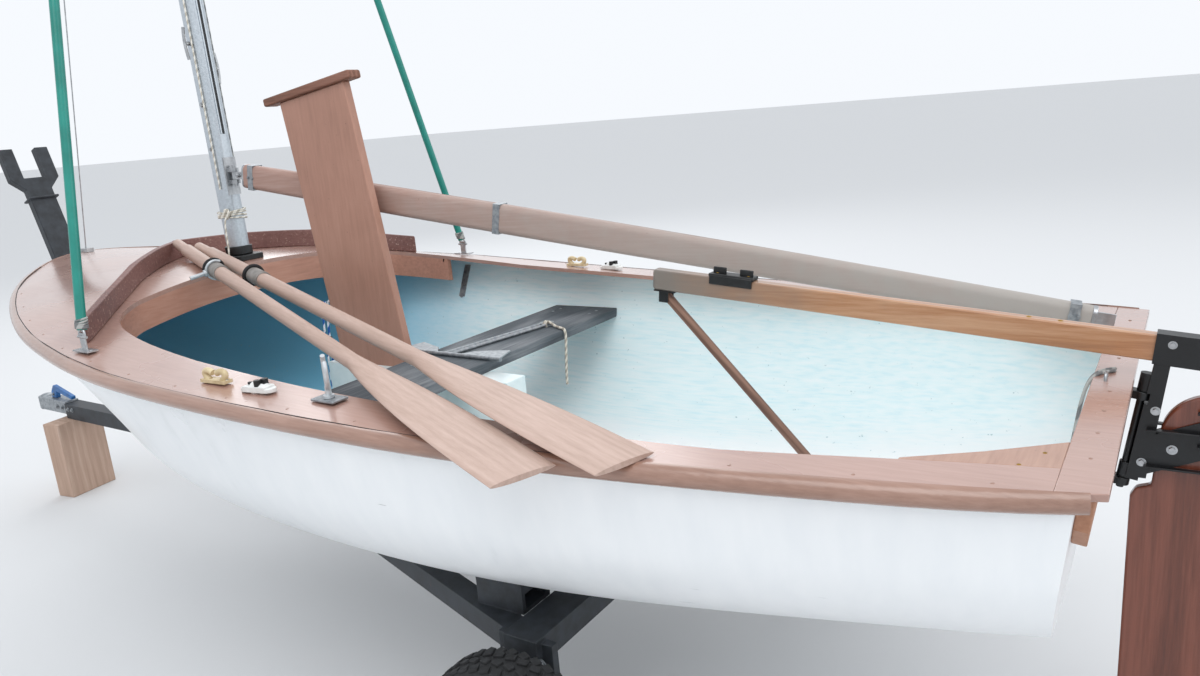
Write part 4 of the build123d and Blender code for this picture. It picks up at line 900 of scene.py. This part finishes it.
class DINGHY_OT_fittings(bpy.types.Operator):
    """Fairleads, jam cleats and the rowlock."""
    bl_idname = "dinghy.fittings"
    bl_label = "Fittings"

    def execute(self, context):
        for tag, side in SIDES:
            self.fairlead(tag, side)
            self.jam_cleat(tag, side)
        seat = seat_of("rowlock_plate", top=True)
        bm = bmesh.new()
        self.horn_into(bm, frame_at(seat, (0.8, -0.6, 0), UP))
        finish_mesh("rowlock_shown", bm, "bright_zinc", body_of_node("rowlock"), ("rowlock",))
        dress("galvanised_steel", 0.001, "rowlock_plate")
        bm = bmesh.new()
        for x in (-0.024, 0.024):
            for y in (-0.013, 0.013):
                screw_into(bm, seat + Vector((x, y, 0)), UP, 0.004)
        finish_mesh("rowlock_screws", bm, "galvanised_steel")
        self.loose_rowlock()
        return {"FINISHED"}

    def fairlead(self, tag, side):
        """Open fairlead: a foot with two horns that curl in over the rope."""
        base = seat_of(f"fairlead_{tag}")
        turn = math.radians(4 * side)
        along = Vector((math.cos(turn), math.sin(turn), 0))
        bm = bmesh.new()
        box_into(bm, (0.072, 0.022, 0.007), frame_at(base + UP * 0.0035, along, UP))
        for way in (-1, 1):
            tube_into(bm, [base + along * way * out + UP * up for out, up in (
                (0.018, 0.003), (0.029, 0.010), (0.031, 0.022), (0.016, 0.0245), (0.006, 0.0195))],
                0.0068, sides=12)
        finish_mesh(f"fairlead_{tag}_shown", bm, "cream_nylon", BOAT, (f"fairlead_{tag}",), bevel=0.002)
        bm = bmesh.new()
        for way in (-1, 1):
            screw_into(bm, base + along * way * 0.0325 + UP * 0.007, UP, 0.0035)
        finish_mesh(f"fairlead_screws_{tag}", bm, "stainless_steel")

    def jam_cleat(self, tag, side):
        """Jam cleat: white body with a dark jaw let into its top."""
        base = seat_of(f"jam_cleat_{tag}")
        turn = math.radians(8 * side)
        along = Vector((math.cos(turn), math.sin(turn), 0))
        across = Vector((-along.y, along.x, 0))
        bm = bmesh.new()
        for way in (-1, 1):
            rod_into(bm, base + along * way * 0.027, base + along * way * 0.027 + UP * 0.008, 0.0145, 24)
        dome_into(bm, base + along * 0.006 + UP * 0.006, UP, 0.0142, 0.014, 24)
        dome_into(bm, base - along * 0.014 + UP * 0.006, UP, 0.0142, 0.011, 24)
        box_into(bm, (0.058, 0.029, 0.012), frame_at(base + UP * 0.006, along, UP))
        finish_mesh(f"jam_cleat_{tag}_shown", bm, "white_nylon", BOAT, (f"jam_cleat_{tag}",), bevel=0.001)
        bm = bmesh.new()
        for way, reach in ((-1, 0.0), (1, 0.006)):
            middle = base - along * (0.012 - reach) + across * way * 0.0072
            rod_into(bm, middle + UP * 0.012, middle + UP * 0.0245, 0.0066, 20)
            for tooth in range(4):
                at = middle - across * way * 0.0055 + along * (tooth - 1.5) * 0.0032 + UP * 0.0185
                box_into(bm, (0.0016, 0.0030, 0.0115), frame_at(at, along, UP))
        box_into(bm, (0.044, 0.007, 0.0052), frame_at(base + along * 0.002 + UP * 0.0152, along, UP))
        finish_mesh(f"jam_jaws_{tag}", bm, "black_nylon", bevel=0.0008)

    def horn_into(self, bm, m):
        """Open horn of round bar on its pin; the matrix puts its pin along z and its arms along x."""
        arms = []
        for k in range(13):
            a = math.radians(-222 + k * 22)
            reach = 0.033 if 1 < k < 11 else 0.036
            arms.append(m @ Vector((reach * math.cos(a), 0, 0.052 + reach * math.sin(a))))
        tube_into(bm, arms, 0.0046, sides=10)
        for low, high, radius, sides in ((-0.0036, 0.0225, 0.006, 16), (0.0006, 0.006, 0.0105, 20)):
            rod_into(bm, m @ (UP * low), m @ (UP * high), radius, sides)

    def loose_rowlock(self):
        """A second horn pushed over the near oar, its pin lying towards the deck."""
        at, run = oar_line("oar_near", 1.328)
        side = UP.cross(run).normalized()
        pin = (side * (-0.88 if side.y < 0 else 0.88) - UP * 0.16).normalized()
        across = run.cross(pin).normalized()
        bm = bmesh.new()
        angles = (math.radians(-222 + k * 22) for k in range(13))
        tube_into(bm, [at + across * 0.0262 * math.cos(a) - pin * 0.0262 * math.sin(a) for a in angles],
                  0.0042, sides=10)
        rod_into(bm, at + pin * 0.026, at + pin * 0.072, 0.0056, 16)
        rod_into(bm, at + pin * 0.028, at + pin * 0.034, 0.0098, 20)
        finish_mesh("loose_rowlock", bm, "bright_zinc")


class DINGHY_OT_oars(bpy.types.Operator):
    """Oars with sleeves and their button rings."""
    bl_idname = "dinghy.oars"
    bl_label = "Oars"

    def execute(self, context):
        dress("oar_spruce", 0.001, "oar_near", "oar_far")
        for oar, button in (("oar_near", 1.348), ("oar_far", 1.168)):
            at, run = oar_line(oar, button)
            bm = bmesh.new()
            rod_into(bm, at, at + run * 0.078, 0.0222, 28)
            for start in (0.060, 0.065, 0.070):
                rod_into(bm, at + run * start, at + run * (start + 0.0025), 0.0228, 28)
            finish_mesh(f"{oar}_sleeve", bm, "grey_rubber", bevel=0.0012)
            bm = bmesh.new()
            m = frame_at((0, 0, 0), UP, run).to_3x3()
            tube_into(bm, ring(at, m.col[0] * 0.0262, m.col[1] * 0.0262, 18), 0.0050, closed=True, sides=10)
            finish_mesh(f"{oar}_button", bm, "black_rubber")
        return {"FINISHED"}


class DINGHY_OT_rudder(bpy.types.Operator):
    """Rudder, tiller and extension."""
    bl_idname = "dinghy.rudder"
    bl_label = "Rudder"

    def execute(self, context):
        dress("black_enamel", 0.001, "rudder_head")
        dress("mahogany", 0.004, "rudder_blade")
        dress("tiller_ash", 0.003, "tiller")
        dress("extension_wood", 0.001, "tiller_extension")
        dress("black_enamel", 0.0005, "extension_bracket")
        dress("black_enamel", 0.001, "gudgeon_upper", "gudgeon_lower")
        self.bolts()
        self.tiller_clip()
        self.stern_line(context)
        return {"FINISHED"}

    def bolts(self):
        """Bolts and washers through the cheeks, the socket and the gudgeons."""
        body = body_of_node("rudder_head")
        bm = bmesh.new()
        for side in (-1, 1):
            for x, z, radius, depth in ((-0.128, 0.720, 0.009, 0.0142), (-0.190, 0.765, 0.0055, 0.0142),
                                        (-0.070, 0.700, 0.0055, 0.0142), (-0.060, 0.880, 0.0045, 0.0162),
                                        (-0.150, 0.876, 0.0045, 0.0162), (-0.028, 0.672, 0.005, 0.0142),
                                        (-0.043, 0.765, 0.005, 0.0142)):
                bolt_into(bm, (bx(x), side * depth, z), PORT * side, radius)
        finish_mesh("rudder_bolts", bm, "stainless_steel", body)
        bm = bmesh.new()
        for side in (-1, 1):
            # flanges turned outwards along the cheek's edges
            for x0, z0, x1, z1 in ((-0.036, 0.648, -0.110, 0.6875), (-0.110, 0.6875, -0.203, 0.735),
                                   (-0.036, 0.716, -0.105, 0.7495), (-0.105, 0.7495, -0.203, 0.788)):
                a, b = Vector((bx(x0), side * 0.0195, z0)), Vector((bx(x1), side * 0.0195, z1))
                plate_into(bm, (a + b) / 2 - UP * 0.0015, b - a, UP, ((b - a).length, 0.012, 0.003))
        finish_mesh("cheek_flanges", bm, "black_enamel", body, bevel=0.0006)

    def tiller_clip(self):
        """Moulded clip on the tiller for the extension, and its screws."""
        slope = math.radians(TILLER_SLOPE)
        along = Vector((math.cos(slope), 0, math.sin(slope)))
        up = Vector((-math.sin(slope), 0, math.cos(slope)))
        origin = Vector(TILLER_ROOT)
        body = body_of_node("tiller")
        bm = bmesh.new()
        centre = origin + along * 0.735
        box_into(bm, (0.100, 0.031, 0.008), frame_at(centre + up * 0.0265, along, up))
        for side in (-1, 1):
            lip = centre + up * 0.0175 + PORT * side * 0.0148
            jaw = centre + along * side * 0.03 + up * 0.036
            box_into(bm, (0.096, 0.004, 0.020), frame_at(lip, along, up))
            box_into(bm, (0.030, 0.0045, 0.014), frame_at(jaw, along, up))
        finish_mesh("tiller_clip", bm, "black_nylon", body, bevel=0.002)
        bm = bmesh.new()
        for at, height, radius in ((0.70, 0.0305, 0.0038), (0.77, 0.0305, 0.0038), (0.12, 0.0225, 0.0045),
                                   (0.17, 0.0225, 0.0045)):
            screw_into(bm, origin + along * at + up * height, up, radius)
        finish_mesh("tiller_screws", bm, "brass", body)

    def stern_line(self, context):
        """Doubled grey line from an eye on the transom cap, hanging down inside."""
        width = context.scene.dinghy_sizes.line_width
        cap = surface_of("transom_cap")
        for index, shift in enumerate((0.0, 0.013)):
            top = top_of(cap, bx(0.030), 0.028 + shift)[0].z + width / 2
            route = [(bx(x), y + shift, z) for x, y, z in (
                (0.020, -0.020, top), (0.032, -0.008, top + 0.001), (0.047, 0.010, top - 0.0005),
                (0.0580, 0.026, top - 0.016), (0.0640, 0.038, 0.780), (0.0690, 0.042, 0.742),
                (0.0740, 0.040, 0.704), (0.0800, 0.034, 0.668), (0.0870, 0.026, 0.636 - 0.004 * index),
                (0.0950, 0.018, 0.604 - 0.012 * index))]
            line = smooth_line(f"stern_line_{index + 1}", route, width / 2, "grey_braid")
        bm = bmesh.new()
        at = top_of(cap, bx(0.030), 0.036)[0]
        tube_into(bm, [at + Vector((0, y, z)) for y, z in ((-0.011, -0.001), (-0.011, 0.012), (0.011, 0.012),
                                                           (0.011, -0.001))], 0.0026)
        finish_mesh("stern_eye", bm, "stainless_steel")


class DINGHY_OT_trailer(bpy.types.Operator):
    """Trailer frame, post, roller, coupler, wheels and block."""
    bl_idname = "dinghy.trailer"
    bl_label = "Trailer"

    def execute(self, context):
        dress("trailer_paint", 0.003, "trailer_frame", "trailer_post")
        dress("trailer_paint", 0.001, "roller_bracket")
        dress("black_rubber", 0.003, "bow_roller")
        dress("galvanised_steel", 0.004, "coupler")
        dress("blue_plastic", 0.003, "coupler_handle")
        dress("block_pine", 0.003, "wood_block")
        for tag, side in SIDES:
            self.tyre(context, tag, side)
            dress("rim_paint", 0.001, f"rim_{tag}")
            self.hub(tag, side)
        self.frame_bolts()
        self.coupler_gear()
        return {"FINISHED"}

    def tyre(self, context, tag, side):
        """Tyre with two rows of slanted blocks either side of a broken middle rib."""
        depth = context.scene.dinghy_sizes.tread_depth
        body = body_of_node(f"tyre_{tag}")
        centre = Vector((0, side * WHEEL_Y, WHEEL_R))
        bm = node_copy(f"tyre_{tag}")
        for vert in bm.verts:
            out = Vector((vert.co.x, 0, vert.co.z - WHEEL_R))
            if out.length > WHEEL_R - 0.02:
                vert.co -= out.normalized() * depth * 0.9
        finish_mesh(f"tyre_{tag}_shown", bm, "tyre_rubber", body, (f"tyre_{tag}",), 30, 0.003)
        bm = bmesh.new()
        count = 46
        for index in range(count):
            for row, y, width, slant, lift in (
                    (0, -0.030, 0.017, 0.35, 0.0045), (1, -0.0115, 0.014, -0.3, 0.0),
                    (2, 0.0115, 0.014, 0.3, 0.0), (3, 0.030, 0.017, -0.35, 0.0045)):
                # every second row starts half a block further round
                angle = math.tau * (index + 0.5 * (row % 2)) / count
                out = Vector((math.cos(angle), 0, math.sin(angle)))
                along = Vector((-math.sin(angle), slant, math.cos(angle)))
                at = centre + out * (WHEEL_R - depth / 2 - 0.0004 - lift) + PORT * y
                box_into(bm, (0.0195, width, depth), frame_at(at, along, out))
        finish_mesh(f"tread_{tag}", bm, "tyre_rubber", body, bevel=0.0012, segments=1)
        bm = bmesh.new()
        for radius, out in ((0.118, 0.0445), (0.146, 0.0497)):
            tube_into(bm, ring(centre + PORT * side * out, AHEAD * radius, UP * radius, 40), 0.0013,
                      closed=True, sides=6)
        finish_mesh(f"sidewall_rings_{tag}", bm, "tyre_rubber", body)

    def hub(self, tag, side):
        """Wheel bolts, hub cap and valve."""
        centre = Vector((0, side * (WHEEL_Y + 0.034), WHEEL_R))
        out = PORT * side
        bm = bmesh.new()
        for k in range(4):
            a = math.tau * k / 4 + 0.4
            bolt_into(bm, centre + Vector((math.cos(a) * 0.033, 0, math.sin(a) * 0.033)), out, 0.0065)
        dome_into(bm, centre, out, 0.019, 0.013, 24)
        valve = centre + AHEAD * 0.074
        rod_into(bm, valve - out * 0.02, valve + out * 0.001, 0.003, 10)
        finish_mesh(f"hub_{tag}", bm, "galvanised_steel", body_of_node(f"rim_{tag}"))

    def frame_bolts(self):
        """Bolts on the frame, the post and the roller bracket."""
        bm = bmesh.new()
        for side in (-1, 1):
            for x, y, z, way, radius in (
                    (0.90, 0.530, 0.318, 1, 0.008), (0.99, 0.530, 0.318, 1, 0.008),
                    (1.01, 0.375, 0.355, -1, 0.007), (1.09, 0.375, 0.355, -1, 0.007),
                    (2.76, 0.052, 0.392, 1, 0.008), (2.735, 0.030, 0.335, 1, 0.008),
                    (2.785, 0.030, 0.335, 1, 0.008), (3.60, 0.030, 0.345, 1, 0.006),
                    (3.63, 0.030, 0.345, 1, 0.006)):
                bolt_into(bm, (bx(x), side * y, z), PORT * side * way, radius)
            bolt_into(bm, (bx(0.93), side * 0.03, 0.365), UP, 0.007)
        finish_mesh("frame_bolts", bm, "galvanised_steel")

    def coupler_gear(self):
        """Pivot, fixing bolts and the dome over the ball."""
        low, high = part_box("coupler")
        bm = bmesh.new()
        for side in (-1, 1):
            for x in (low[0] + 0.022, low[0] + 0.062):
                bolt_into(bm, (x, side * 0.029, (low[2] + high[2]) / 2), PORT * side, 0.007)
            bolt_into(bm, (low[0] + 0.115, side * 0.009, high[2] + 0.015), PORT * side, 0.005)
        dome_into(bm, (high[0] - 0.034, 0, high[2]), UP, 0.023, 0.009, 24)
        finish_mesh("coupler_bolts", bm, "galvanised_steel")


class DINGHY_OT_stage(bpy.types.Operator):
    """Pale floor, plain light and the camera."""
    bl_idname = "dinghy.stage"
    bl_label = "Stage"

    def execute(self, context):
        scene = context.scene
        mat, _, shader = blank("studio_floor")
        feed(mat, shader, Base_Color=lin("#D8D9DA"), Roughness=0.9)
        bm = bmesh.new()
        bmesh.ops.create_grid(bm, x_segments=1, y_segments=1, size=150)
        mesh = bpy.data.meshes.new("floor")
        bm.to_mesh(mesh)
        bm.free()
        floor = bpy.data.objects.new("floor", mesh)
        scene.collection.objects.link(floor)
        mesh.materials.append(mat)
        world = bpy.data.worlds.new("studio")
        scene.world = world
        world.use_nodes = True
        back = world.node_tree.nodes["Background"]
        back.inputs["Color"].default_value = (0.93, 0.96, 1.0, 1)
        back.inputs["Strength"].default_value = 1.0
        for name, at, size, power in (("sky_panel", (-1.5, 3.5, 6.5), 5.0, 170),
                                      ("side_panel", (5.0, -4.5, 5.0), 5.0, 130),
                                      ("low_panel", (-6.5, -3.6, 4.4), 6.0, 105)):
            light = bpy.data.lights.new(name, "AREA")
            light.size = size
            light.energy = power
            lamp = bpy.data.objects.new(name, light)
            lamp.location = at
            lamp.rotation_euler = (Vector((0.6, 0, 0.6)) - Vector(at)).to_track_quat("-Z", "Y").to_euler()
            scene.collection.objects.link(lamp)
        camera = bpy.data.cameras.new("camera")
        camera.sensor_width = 36
        camera.lens = FOCAL_PIXELS / PHOTO_PIXELS * camera.sensor_width
        eye = bpy.data.objects.new("camera", camera)
        turn = Matrix((CAMERA_RIGHT, CAMERA_UP, -Vector(CAMERA_AHEAD))).transposed().to_4x4()
        turn.translation = CAMERA_AT
        eye.matrix_world = turn
        scene.collection.objects.link(eye)
        scene.camera = eye
        scene.view_settings.view_transform = "Standard"
        return {"FINISHED"}


class DINGHY_PT_panel(bpy.types.Panel):
    """Lists the sizes, the colours and the steps."""
    bl_idname = "DINGHY_PT_panel"
    bl_label = "Dinghy"
    bl_space_type = "VIEW_3D"
    bl_region_type = "UI"
    bl_category = "Dinghy"

    def draw(self, context):
        sizes, colours = context.scene.dinghy_sizes, context.scene.dinghy_colours
        for group, keys in ((sizes, ("line_width", "rope_width", "tread_depth", "screw_head")),
                            (colours, ("deck", "hull", "inside", "hose"))):
            for key in keys:
                self.layout.prop(group, key)
        for step in STEPS:
            self.layout.operator(step.bl_idname)


STEPS = (
    DINGHY_OT_hull, DINGHY_OT_deck, DINGHY_OT_inside, DINGHY_OT_rig, DINGHY_OT_fittings, DINGHY_OT_oars,
    DINGHY_OT_rudder, DINGHY_OT_trailer, DINGHY_OT_stage,
)
CLASSES = (DinghySizes, DinghyColours, *STEPS, DINGHY_PT_panel)


def register():
    for one in CLASSES:
        bpy.utils.register_class(one)
    bpy.types.Scene.dinghy_sizes = bpy.props.PointerProperty(type=DinghySizes)
    bpy.types.Scene.dinghy_colours = bpy.props.PointerProperty(type=DinghyColours)


def unregister():
    del bpy.types.Scene.dinghy_colours
    del bpy.types.Scene.dinghy_sizes
    for one in reversed(CLASSES):
        bpy.utils.unregister_class(one)


def main():
    register()
    make_materials()
    for step in STEPS:
        group, action = step.bl_idname.split(".")
        getattr(getattr(bpy.ops, group), action)()


if __name__ == "__main__":
    main()
